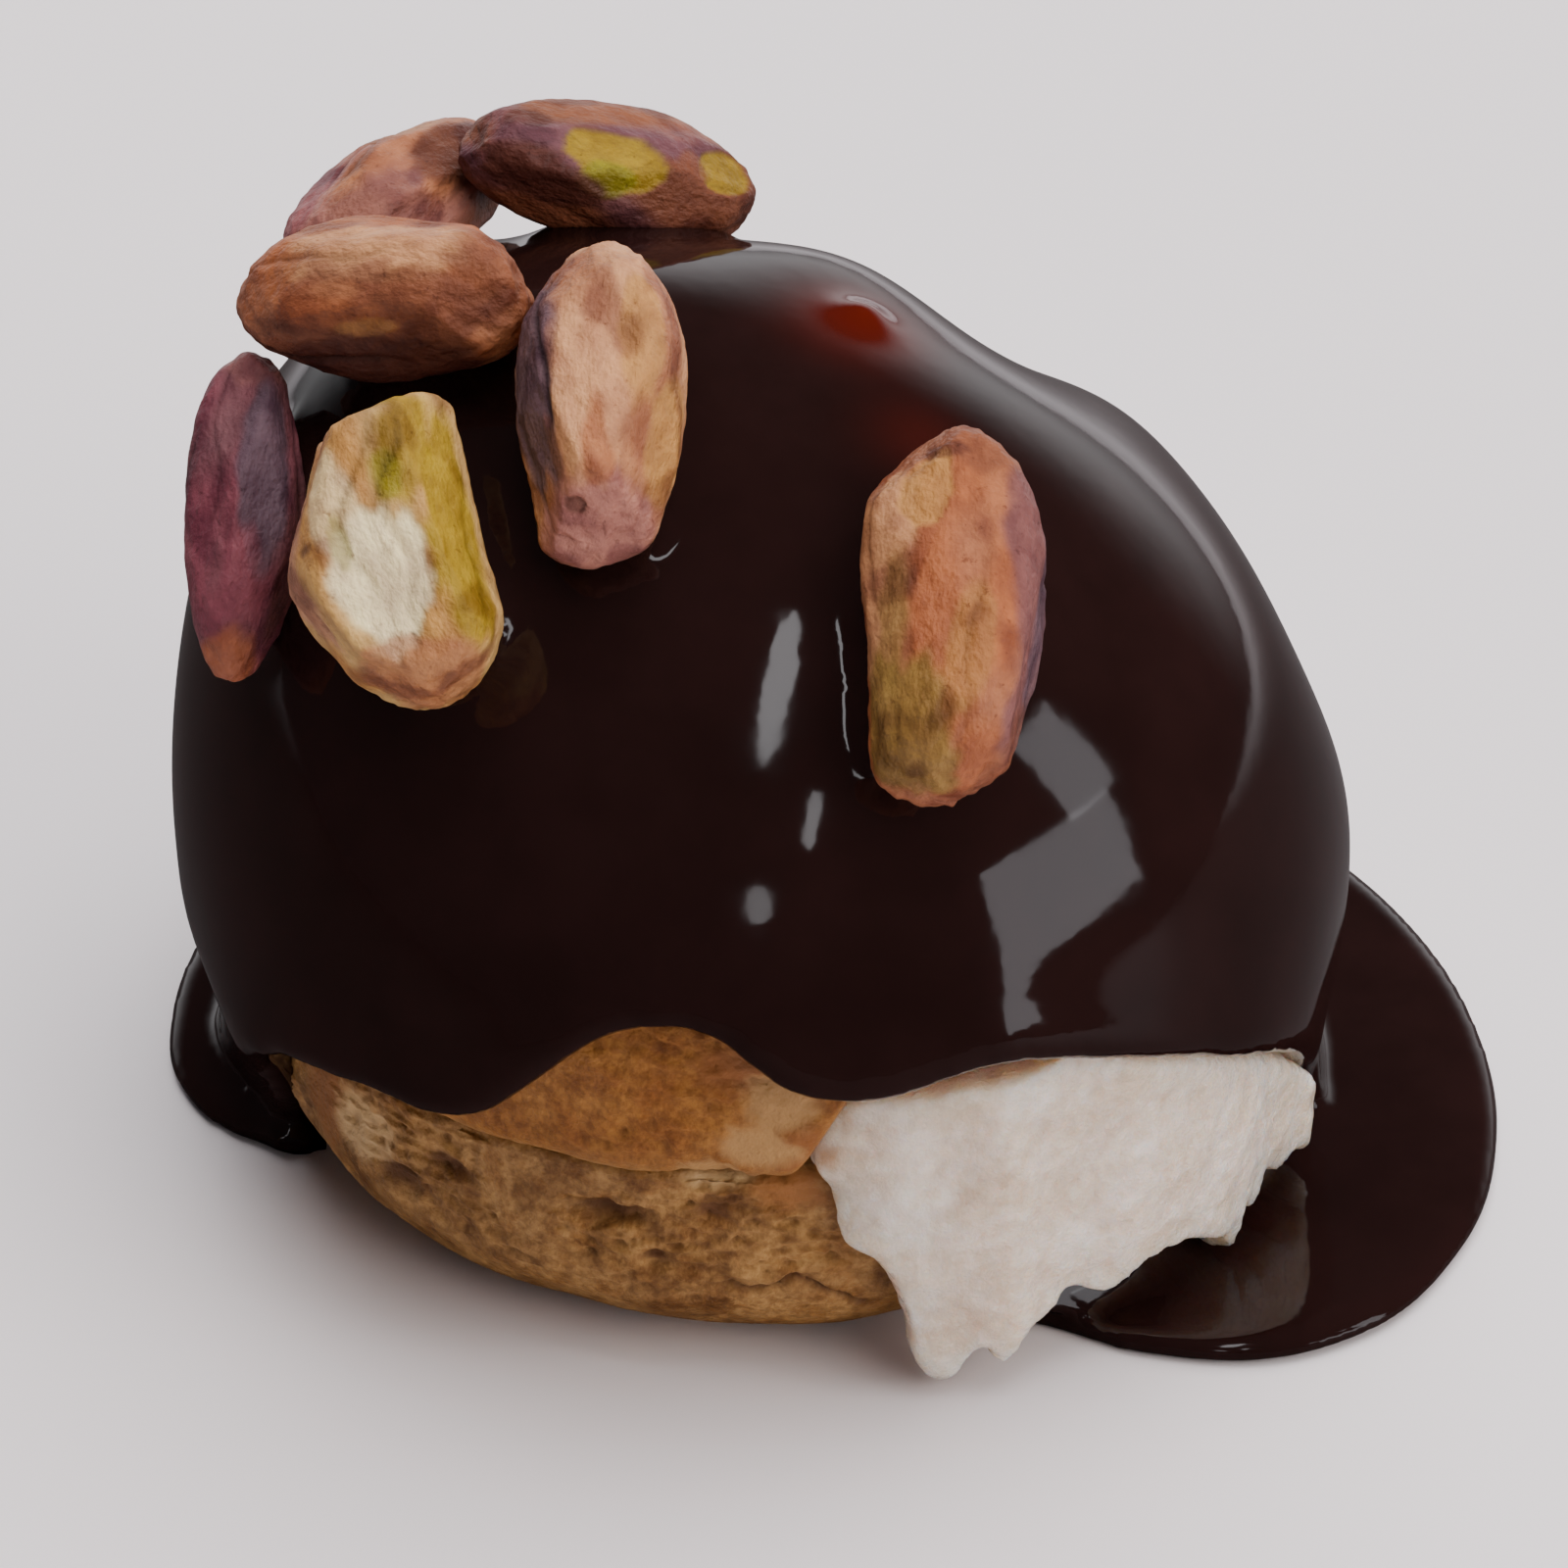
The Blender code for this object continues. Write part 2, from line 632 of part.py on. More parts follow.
def main():
    clear_scene()
    chocolate = make_material("dark chocolate", CHOCOLATE, 0.12)
    make_base_crust(make_material("bottom crust", CRUST, 0.7))
    make_lid_crust(make_material("lid crust", CRUST_GOLD, 0.6))
    make_cream(make_material("cream", CREAM, 0.35))
    coat = make_shell(chocolate)
    foot = make_foot(chocolate)
    foot.hide_render = True
    foot.display_type = 'WIRE'
    join = coat.modifiers.new("foot", 'BOOLEAN')
    join.operation = 'UNION'
    join.object = foot
    kernel_material = make_material("pistachio skin", KERNEL_SKIN, 0.6)
    cutters = []
    for number, kernel in enumerate(KERNELS, start=1):
        make_kernel(f"pistachio_{number}", kernel, number, 0.0, kernel_material)
        cutters.append(make_kernel(f"kernel_seat_{number}", kernel, number, GAP, kernel_material))
    cut_seats(coat, cutters)


main()
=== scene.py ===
from math import cos, pi, radians, sin

import bpy
import numpy as np
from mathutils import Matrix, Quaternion, Vector, noise
from mathutils.bvhtree import BVHTree
from mathutils.kdtree import KDTree


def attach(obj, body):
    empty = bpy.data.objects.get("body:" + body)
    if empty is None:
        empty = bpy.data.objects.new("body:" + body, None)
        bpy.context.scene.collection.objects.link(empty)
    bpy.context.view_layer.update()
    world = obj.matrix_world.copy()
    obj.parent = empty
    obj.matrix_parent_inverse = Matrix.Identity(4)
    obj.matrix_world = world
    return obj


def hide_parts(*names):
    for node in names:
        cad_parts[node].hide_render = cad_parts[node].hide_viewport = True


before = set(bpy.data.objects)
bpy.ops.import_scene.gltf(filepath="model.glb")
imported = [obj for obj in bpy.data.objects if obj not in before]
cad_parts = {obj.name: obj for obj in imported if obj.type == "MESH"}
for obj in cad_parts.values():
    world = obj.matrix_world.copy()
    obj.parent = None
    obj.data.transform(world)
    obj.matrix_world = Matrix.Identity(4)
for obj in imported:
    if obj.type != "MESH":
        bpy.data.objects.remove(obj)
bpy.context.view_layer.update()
print("frame loaded")


# shared shaping helpers

def ease(value):
    t = np.clip(value, 0, 1)
    return t * t * (3 - 2 * t)


def alongOutline(outline, azimuth, outside=0.0):
    # an outline's value at each azimuth in degrees, on a smooth curve through its points
    places, values = np.array(outline, float).T
    turned = (azimuth - places[0]) % 360 + places[0]
    slopes = np.gradient(values, places)
    slopes[[0, -1]] = 0
    i = np.clip(np.searchsorted(places, turned) - 1, 0, len(places) - 2)
    run = places[i + 1] - places[i]
    t = np.clip((turned - places[i]) / run, 0, 1)
    bend = (t ** 3 - 2 * t ** 2 + t) * slopes[i] + (t ** 3 - t ** 2) * slopes[i + 1]
    inside = values[i] + (values[i + 1] - values[i]) * ease(t) + run * bend
    return np.where(turned <= places[-1], inside, outside)


def angleBetween(a, b):
    return np.abs((a - b + 180) % 360 - 180)


def around(azimuth, radius, height):
    a = np.radians(azimuth)
    return np.stack(np.broadcast_arrays(radius * np.cos(a), radius * np.sin(a), height), -1)


def azimuthOf(points):
    return np.degrees(np.arctan2(points[:, 1], points[:, 0]))


def radialOf(points):
    return np.linalg.norm(points[:, :2], axis=1)


def noiseAt(points, grain, seed, stretch=(1, 1, 1)):
    # smooth noise from about -1 to 1 at each point; grain is its size in metres
    scaled = points / (grain * np.array(stretch)) + np.array((seed * 7.3, seed * 3.1, seed * 5.7))
    return np.array([noise.noise(Vector(p)) for p in scaled])


def pointsOf(piece):
    flat = np.empty(len(piece.data.vertices) * 3, np.float32)
    piece.data.vertices.foreach_get("co", flat)
    return flat.reshape(-1, 3).astype(float)


def setPoints(piece, points):
    piece.data.vertices.foreach_set("co", points.astype(np.float32).ravel())
    piece.data.update()


def normalsOf(piece):
    flat = np.empty(len(piece.data.vertices) * 3, np.float32)
    piece.data.vertex_normals.foreach_get("vector", flat)
    return flat.reshape(-1, 3).astype(float)


def paintNumbers(piece, name, values):
    attribute = piece.data.attributes.new(name, 'FLOAT', 'POINT')
    attribute.data.foreach_set("value", values.astype(np.float32))


def paintVectors(piece, name, values):
    attribute = piece.data.attributes.new(name, 'FLOAT_VECTOR', 'POINT')
    attribute.data.foreach_set("vector", values.astype(np.float32).ravel())


def paintColours(piece, name, values):
    attribute = piece.data.attributes.new(name, 'FLOAT_COLOR', 'POINT')
    rgba = np.concatenate([values, np.ones((len(values), 1))], 1)
    attribute.data.foreach_set("color", rgba.astype(np.float32).ravel())


def pickOnly(piece):
    bpy.ops.object.select_all(action='DESELECT')
    piece.select_set(True)
    bpy.context.view_layer.objects.active = piece


def closeUp(piece):
    # seams and poles are welded, and the faces turned outwards
    pickOnly(piece)
    bpy.ops.object.mode_set(mode='EDIT')
    bpy.ops.mesh.select_all(action='SELECT')
    bpy.ops.mesh.remove_doubles(threshold=1e-6)
    bpy.ops.mesh.normals_make_consistent(inside=False)
    bpy.ops.object.mode_set(mode='OBJECT')


def wrappedSheet(name, levels):
    # a grid laid round the axis: levels[k][i] is its point on level k and column i
    rows, columns = levels.shape[:2]
    bpy.ops.object.select_all(action='DESELECT')
    bpy.ops.mesh.primitive_grid_add(x_subdivisions=columns - 1, y_subdivisions=rows - 1, size=1)
    piece = bpy.context.object
    piece.name = name
    flat = pointsOf(piece)
    column = np.rint((flat[:, 0] + 0.5) * (columns - 1)).astype(int)
    row = np.rint((flat[:, 1] + 0.5) * (rows - 1)).astype(int)
    setPoints(piece, levels[row, column])
    closeUp(piece)
    return piece


def applyModifier(piece, name, kind, **settings):
    pickOnly(piece)
    modifier = piece.modifiers.new(name, kind)
    for key, value in settings.items():
        setattr(modifier, key, value)
    bpy.ops.object.modifier_apply(modifier=modifier.name)


def remesh(piece, voxel, passes):
    # one skin over joined shapes, with the steps of the voxels smoothed out
    applyModifier(piece, "one skin", 'REMESH', mode='VOXEL', voxel_size=voxel, adaptivity=0)
    applyModifier(piece, "settle", 'SMOOTH', factor=0.5, iterations=passes)


def joinInto(piece, *others):
    pickOnly(piece)
    for other in others:
        other.select_set(True)
    bpy.ops.object.join()


def finishPiece(piece, material, node):
    piece.data.materials.clear()
    piece.data.materials.append(material)
    pickOnly(piece)
    bpy.ops.object.shade_smooth()
    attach(piece, "root")
    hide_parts(node)
    print(piece.name, "has", sum(len(f.vertices) - 2 for f in piece.data.polygons), "triangles")


# shared shader helpers

def addNode(tree, kind, place, **settings):
    node = tree.nodes.new(kind)
    node.location = place
    for key, value in settings.items():
        setattr(node, key, value)
    return node


def newGroup(name, inputs, outputs):
    group = bpy.data.node_groups.new(name, 'ShaderNodeTree')
    for socket, kind, value in inputs:
        made = group.interface.new_socket(socket, in_out='INPUT', socket_type=kind)
        if value is not None:
            made.default_value = value
    for socket, kind in outputs:
        group.interface.new_socket(socket, in_out='OUTPUT', socket_type=kind)
    return group, addNode(group, 'NodeGroupInput', (-900, 0)), addNode(group, 'NodeGroupOutput', (700, 0))


def makeMottleGroup():
    # soft blotches in two colours, with finer mottling inside them
    group, given, result = newGroup(
        "mottle",
        [("Position", 'NodeSocketVector', None), ("Grain", 'NodeSocketFloat', 300.0),
         ("Light", 'NodeSocketColor', (1, 1, 1, 1)), ("Dark", 'NodeSocketColor', (0, 0, 0, 1)),
         ("Balance", 'NodeSocketFloat', 0.5), ("Softness", 'NodeSocketFloat', 0.2)],
        [("Color", 'NodeSocketColor'), ("Mask", 'NodeSocketFloat')],
    )
    links = group.links
    blotch = addNode(group, 'ShaderNodeTexNoise', (-650, 100))
    blotch.inputs["Detail"].default_value = 6
    blotch.inputs["Roughness"].default_value = 0.62
    links.new(given.outputs["Position"], blotch.inputs["Vector"])
    links.new(given.outputs["Grain"], blotch.inputs["Scale"])
    low = addNode(group, 'ShaderNodeMath', (-450, -100), operation='SUBTRACT')
    high = addNode(group, 'ShaderNodeMath', (-450, -260), operation='ADD')
    for node in (low, high):
        links.new(given.outputs["Balance"], node.inputs[0])
        links.new(given.outputs["Softness"], node.inputs[1])
    mask = addNode(group, 'ShaderNodeMapRange', (-200, 50), interpolation_type='SMOOTHSTEP')
    links.new(blotch.outputs["Fac"], mask.inputs["Value"])
    links.new(low.outputs[0], mask.inputs["From Min"])
    links.new(high.outputs[0], mask.inputs["From Max"])
    blend = addNode(group, 'ShaderNodeMix', (100, 50), data_type='RGBA')
    links.new(mask.outputs["Result"], blend.inputs["Factor"])
    links.new(given.outputs["Light"], blend.inputs[6])
    links.new(given.outputs["Dark"], blend.inputs[7])
    links.new(blend.outputs[2], result.inputs["Color"])
    links.new(mask.outputs["Result"], result.inputs["Mask"])
    return group


def makeGrainGroup():
    # fine relief from two sizes of noise, as a normal
    group, given, result = newGroup(
        "fine grain",
        [("Position", 'NodeSocketVector', None), ("Grain", 'NodeSocketFloat', 2000.0),
         ("Fine share", 'NodeSocketFloat', 0.4), ("Depth", 'NodeSocketFloat', 0.0001)],
        [("Normal", 'NodeSocketVector')],
    )
    links = group.links
    coarse = addNode(group, 'ShaderNodeTexNoise', (-650, 100))
    coarse.inputs["Detail"].default_value = 3
    fine = addNode(group, 'ShaderNodeTexNoise', (-650, -150))
    fine.inputs["Detail"].default_value = 2
    finer = addNode(group, 'ShaderNodeMath', (-820, -200), operation='MULTIPLY')
    finer.inputs[1].default_value = 3.7
    links.new(given.outputs["Grain"], finer.inputs[0])
    links.new(given.outputs["Grain"], coarse.inputs["Scale"])
    links.new(finer.outputs[0], fine.inputs["Scale"])
    for node in (coarse, fine):
        links.new(given.outputs["Position"], node.inputs["Vector"])
    both = addNode(group, 'ShaderNodeMix', (-350, 0), data_type='FLOAT')
    links.new(given.outputs["Fine share"], both.inputs["Factor"])
    links.new(coarse.outputs["Fac"], both.inputs[2])
    links.new(fine.outputs["Fac"], both.inputs[3])
    relief = addNode(group, 'ShaderNodeBump', (200, -100))
    links.new(both.outputs[0], relief.inputs["Height"])
    links.new(given.outputs["Depth"], relief.inputs["Distance"])
    links.new(relief.outputs["Normal"], result.inputs["Normal"])
    return group


mottleGroup = makeMottleGroup()
grainGroup = makeGrainGroup()


def newMaterial(name, **sockets):
    material = bpy.data.materials.new(name)
    material.use_nodes = True
    shader = material.node_tree.nodes["Principled BSDF"]
    shader.location = (500, 0)
    material.node_tree.nodes["Material Output"].location = (850, 0)
    for key, value in sockets.items():
        shader.inputs[key.replace("_", " ")].default_value = value
    return material, material.node_tree, shader


def placeGroup(tree, group, place, source, **values):
    # a shared group, fed with positions from the source
    node = addNode(tree, 'ShaderNodeGroup', place, node_tree=group)
    tree.links.new(source, node.inputs["Position"])
    for key, value in values.items():
        node.inputs[key.replace("_", " ")].default_value = value
    return node


def readAttribute(tree, name, place):
    return addNode(tree, 'ShaderNodeAttribute', place, attribute_name=name)


def mixColours(tree, factor, first, second, place, blend='MIX'):
    node = addNode(tree, 'ShaderNodeMix', place, data_type='RGBA', blend_type=blend)
    for socket, value in ((node.inputs["Factor"], factor), (node.inputs[6], first), (node.inputs[7], second)):
        if isinstance(value, (int, float, tuple)):
            socket.default_value = value
        else:
            tree.links.new(value, socket)
    return node.outputs[2]


def addGrain(tree, shader, place, source, **values):
    grain = placeGroup(tree, grainGroup, place, source, **values)
    tree.links.new(grain.outputs["Normal"], shader.inputs["Normal"])


def remap(tree, value, low, high, place, toLow=0.0, toHigh=1.0):
    node = addNode(tree, 'ShaderNodeMapRange', place, interpolation_type='SMOOTHSTEP')
    tree.links.new(value, node.inputs["Value"])
    node.inputs["From Min"].default_value = low
    node.inputs["From Max"].default_value = high
    node.inputs["To Min"].default_value = toLow
    node.inputs["To Max"].default_value = toHigh
    return node.outputs["Result"]


# the poured dome, which the coat, the lid and the kernels share

dome = {
    "radius": 0.0243, "widestZ": 0.0140, "rise": 0.0220, "fall": 0.0300, "wall": 0.0016,
    # azimuth, polar, reach, height
    "swells": (
        (163, 38, 30, 0.0043), (60, 8, 22, 0.0003), (48, 50, 31, -0.00245), (46, 38, 10, -0.0004),
        (35, 47.5, 12.5, 0.0008), (71, 23, 11, 0.0010), (10, 73, 17, -0.0011),
    ),
}


def towards(azimuth, polar):
    a, t = np.radians(azimuth), np.radians(polar)
    return np.stack(np.broadcast_arrays(np.sin(t) * np.cos(a), np.sin(t) * np.sin(a), np.cos(t)), -1)


def onDome(azimuth, polar, offset=0.0):
    d = towards(azimuth, polar)
    half = np.where(d[..., 2] > 0, dome["rise"], dome["fall"])
    size = np.stack(np.broadcast_arrays(dome["radius"], dome["radius"], half), -1)
    normal = d / size
    normal /= np.linalg.norm(normal, axis=-1, keepdims=True)
    swell = np.zeros(d.shape[:-1]) + offset
    for swellAzimuth, swellPolar, reach, height in dome["swells"]:
        away = np.degrees(np.arccos(np.clip(d @ towards(swellAzimuth, swellPolar), -1, 1)))
        swell = swell + height * np.exp(-((away / reach) ** 2))
    return d * size + normal * swell[..., None] + np.array((0, 0, dome["widestZ"]))


def nearSpot(points, azimuth, polar, width):
    # one at a spot on the dome, fading out over the width
    return np.exp(-(np.linalg.norm(points - onDome(azimuth, polar), axis=1) / width) ** 2)


def polarAtHeight(height):
    rise = height - dome["widestZ"]
    return np.degrees(np.arccos(rise / np.where(rise > 0, dome["rise"], dome["fall"])))


# pistachio kernels

kernelShape = {
    "fullness": 0.50, "ridges": (0.04, 0.03), "bend": 0.04, "segments": 132, "rings": 96,
    "facets": 12, "facetLimits": (0.84, 0.96), "facetEdge": 0.028, "cutEdge": 0.02, "swollen": 1.05,
    "creases": 6, "creaseDepth": 0.050, "creaseWidth": 0.050, "bareDepth": 0.040,
    "dentDepth": 0.060, "wrinkleDepth": 0.036, "fineDepth": 0.014, "creaseShade": 0.40, "lineShade": 0.40,
    "lumps": 0.05, "dentGrain": 0.0026, "wrinkleGrain": 0.0010, "fineGrain": 0.00045, "streakGrain": 0.0017,
    "raggedGrain": 0.0016, "tornGrain": 0.0006, "blemishGrain": 0.0013, "blemishShade": (0.36, 0.42, 0.36),
}
# azimuth, polar, heading, lift, length, width, thickness, depth, blunt first end, blunt second end
kernelPlaces = (
    (295, 38, 155, -1, 0.0155, 0.0077, 0.0074, 0.0010, 2.9, 3.6),
    (224, 20, 222, 6, 0.0142, 0.0073, 0.0066, 0.0009, 1.6, 3.3),
    (216, 40, 232, 0, 0.0132, 0.0082, 0.0078, 0.0010, 5.0, 2.9),
    (192, 48, 53, 1, 0.0140, 0.0047, 0.0052, 0.0008, 1.5, 2.4),
    (178, 31, 338, 4, 0.0132, 0.0069, 0.0067, 0.0008, 1.4, 2.8),
    (145, 38, 276, 8, 0.0135, 0.0062, 0.0062, 0.0008, 1.7, 1.9),
    (121, 28, 277, -10, 0.0145, 0.0062, 0.0056, 0.0007, 1.6, 2.3),
)
# cut or flattened sides for each kernel: direction (along, across, up) and how far out it lies
kernelCuts = (
    (((0.2, 0.25, 1), 0.93), ((0.9, 0.5, 0.2), 0.92), ((-0.2, -1, 0.4), 0.92)),
    (((-1, -0.1, 0.25), 0.86), ((-0.5, 0.9, 0.5), 0.84), ((-0.75, -0.7, 0.2), 0.95)),
    (((1, 0.12, 0.2), 0.84), ((-0.3, -0.35, 0.9), 0.82), ((0.1, -1, 0.2), 0.84), ((-0.9, 0.3, 0.2), 0.92)),
    (((0, 0.9, 0.3), 0.86), ((0, 0.2, 1), 0.88)),
    (((0, 0.5, 0.8), 0.9), ((-0.8, 0.4, 0.4), 0.93)),
    (((0, -0.8, 0.5), 0.88), ((0.3, 0.2, 1), 0.92)),
    (((-0.2, -0.9, 0.35), 0.86), ((-0.3, -0.3, 1), 0.9), ((-1, 0, 0.2), 0.93)),
)
kernelTones = {
    "tan": (0.34, 0.132, 0.064), "orange": (0.315, 0.100, 0.040), "gold": (0.43, 0.215, 0.062),
    "paleTan": (0.52, 0.255, 0.125), "straw": (0.46, 0.285, 0.105), "beige": (0.43, 0.220, 0.105),
    "brown": (0.165, 0.056, 0.030), "umber": (0.078, 0.025, 0.018), "plum": (0.140, 0.058, 0.068),
    "violet": (0.098, 0.060, 0.080), "magenta": (0.18, 0.050, 0.068), "pink": (0.37, 0.158, 0.130),
    "olive": (0.22, 0.135, 0.034), "mustard": (0.29, 0.190, 0.014), "green": (0.21, 0.20, 0.010),
    "ivory": (0.80, 0.68, 0.40), "dark": (0.035, 0.016, 0.014),
}
# for each kernel: its ground and its second tone, then patches, each with its middle
# (along, across, up, from -1 to 1), its reach along and around, its tone, how fully it
# covers, and whether the skin is missing there
kernelPaint = (
    ("orange", "tan", (
        ((0.1, 0.95, 0.3), (0.9, 0.48), "beige", 0.65, False),
        ((0.1, -0.80, 0.62), (1.0, 0.50), "plum", 0.80, False),
        ((0.0, -1.0, 0.15), (0.9, 0.50), "violet", 0.85, False),
        ((0.92, -0.1, 0.35), (0.26, 0.8), "brown", 0.65, False),
        ((-0.78, 0.5, 0.4), (0.46, 0.65), "olive", 0.85, False),
        ((-0.25, 0.8, 0.55), (0.45, 0.26), "olive", 0.6, False),
        ((0.6, 0.45, 0.65), (0.26, 0.34), "gold", 0.75, True),
        ((-0.35, 0.0, 0.95), (0.35, 0.24), "gold", 0.45, False),
        ((0.70, 0.74, 0.20), (0.13, 0.05), "dark", 0.9, False),
        ((0.58, 0.85, 0.2), (0.1, 0.05), "umber", 0.8, False),
        ((0.80, 0.25, 0.55), (0.05, 0.28), "umber", 0.7, False),
        ((-0.13, 0.50, 0.86), (0.07, 0.11), "umber", 0.75, False),
        ((-0.02, 0.62, 0.7), (0.14, 0.10), "umber", 0.5, False),
        ((-0.75, -0.69, 0.2), (0.3, 0.4), "brown", 0.6, False))),
    ("paleTan", "tan", (
        ((-0.1, 0.80, 0.55), (1.0, 0.50), "violet", 0.92, False),
        ((-0.45, -0.9, 0.3), (0.5, 0.42), "gold", 0.85, False),
        ((-0.95, 0, 0.35), (0.32, 0.9), "pink", 0.9, False),
        ((-0.5, -0.05, 0.85), (0.34, 0.18), "orange", 0.7, False),
        ((0.25, -0.55, 0.8), (0.5, 0.26), "gold", 0.7, False),
        ((-0.55, 0.45, 0.7), (0.3, 0.12), "brown", 0.5, False),
        ((-0.80, 0.22, 0.55), (0.08, 0.14), "umber", 0.75, True),
        ((-0.84, -0.45, 0.25), (0.05, 0.12), "umber", 0.6, False))),
    ("straw", "gold", (
        ((-0.15, -0.92, 0.3), (0.9, 0.42), "mustard", 0.95, False),
        ((0.45, -0.55, 0.68), (0.36, 0.34), "mustard", 0.85, False),
        ((0.30, -0.4, 0.8), (0.2, 0.16), "green", 0.6, False),
        ((-0.38, -0.22, 0.87), (0.50, 0.50), "ivory", 0.97, True),
        ((0.15, 0.1, 0.95), (0.34, 0.26), "ivory", 0.5, False),
        ((-0.1, 0.12, 0.95), (0.28, 0.08), "green", 0.5, False),
        ((-0.2, 0.78, 0.6), (0.7, 0.34), "pink", 0.55, False),
        ((-0.90, -0.1, 0.42), (0.20, 0.8), "tan", 0.75, False),
        ((-0.72, -0.29, 0.62), (0.035, 0.05), "dark", 0.9, False),
        ((-0.05, 0.42, 0.85), (0.05, 0.14), "umber", 0.6, False),
        ((0.75, 0.3, 0.6), (0.25, 0.35), "tan", 0.5, False),
        ((0.10, -0.98, 0.05), (0.28, 0.10), "dark", 0.8, False))),
    ("magenta", "plum", (
        ((-0.25, 0.86, 0.30), (0.70, 0.44), "violet", 0.95, False),
        ((0.97, 0.2, 0.2), (0.24, 0.6), "orange", 0.75, False),
        ((0.3, 0.6, -0.4), (0.5, 0.4), "umber", 0.6, False),
        ((-0.9, 0.2, 0.1), (0.2, 0.6), "pink", 0.35, False))),
    ("tan", "orange", (
        ((-0.1, 0.0, 0.95), (0.8, 0.46), "paleTan", 0.95, False),
        ((0.7, 0.1, 0.5), (0.4, 0.5), "orange", 0.7, False),
        ((-0.6, 0.60, 0.5), (0.5, 0.44), "brown", 0.85, False),
        ((-0.85, 0.0, 0.4), (0.3, 0.6), "brown", 0.75, False),
        ((0.0, 0.95, 0.15), (0.95, 0.50), "brown", 0.85, False),
        ((0.0, 0.95, -0.30), (0.9, 0.55), "umber", 0.95, False),
        ((0.1, 0.65, 0.5), (0.4, 0.2), "orange", 0.7, False),
        ((-0.15, 0.8, 0.35), (0.22, 0.12), "gold", 0.5, False))),
    ("pink", "tan", (
        ((0.3, -0.1, 0.9), (0.42, 0.42), "beige", 0.7, False),
        ((-0.6, 0.4, 0.6), (0.45, 0.5), "magenta", 0.7, False),
        ((0.3, -0.85, 0.3), (0.55, 0.5), "umber", 0.8, False),
        ((-0.6, -0.6, 0.2), (0.5, 0.5), "plum", 0.6, False))),
    ("brown", "plum", (
        ((0.0, -0.2, 0.92), (0.8, 0.5), "tan", 0.3, False),
        ((-0.22, -0.90, 0.15), (0.34, 0.50), "mustard", 0.95, True),
        ((-0.30, -0.95, -0.20), (0.20, 0.30), "green", 0.8, False),
        ((0.56, -0.62, 0.30), (0.22, 0.34), "mustard", 0.9, True),
        ((-0.7, -0.6, -0.35), (0.45, 0.45), "umber", 0.95, False),
        ((0.30, -0.75, 0.25), (0.12, 0.3), "brown", 0.8, False),
        ((-0.75, -0.4, 0.55), (0.16, 0.24), "umber", 0.7, False),
        ((-0.45, 0.0, 0.9), (0.25, 0.12), "umber", 0.6, False))),
)


def kernelFrame(place):
    azimuth, polar, heading, lift, length, width, thickness, depth = place[:8]
    spot = onDome(azimuth, polar)
    downhill = onDome(azimuth, polar + 0.5) - spot
    downhill /= np.linalg.norm(downhill)
    sideways = onDome(azimuth + 0.5, polar) - spot
    up = np.cross(downhill, sideways)
    up /= np.linalg.norm(up)
    sideways = np.cross(up, downhill)
    turn, rise = radians(heading), radians(lift)
    flat = downhill * cos(turn) + sideways * sin(turn)
    along = flat * cos(rise) + up * sin(rise)
    across = np.cross(up, flat)
    middle = spot + up * (thickness / 2 - depth + abs(sin(rise)) * length * 0.1)
    return middle, along, across, np.cross(along, across)


def flatten(own, direction, limit, edge):
    # what lies past a plane is pressed back onto it, with a rounded border
    direction = np.array(direction) / np.linalg.norm(direction)
    past = (own @ direction - limit) / edge
    press = edge * np.where(past > 20, past, np.log1p(np.exp(np.minimum(past, 20))))
    return own - press[:, None] * direction


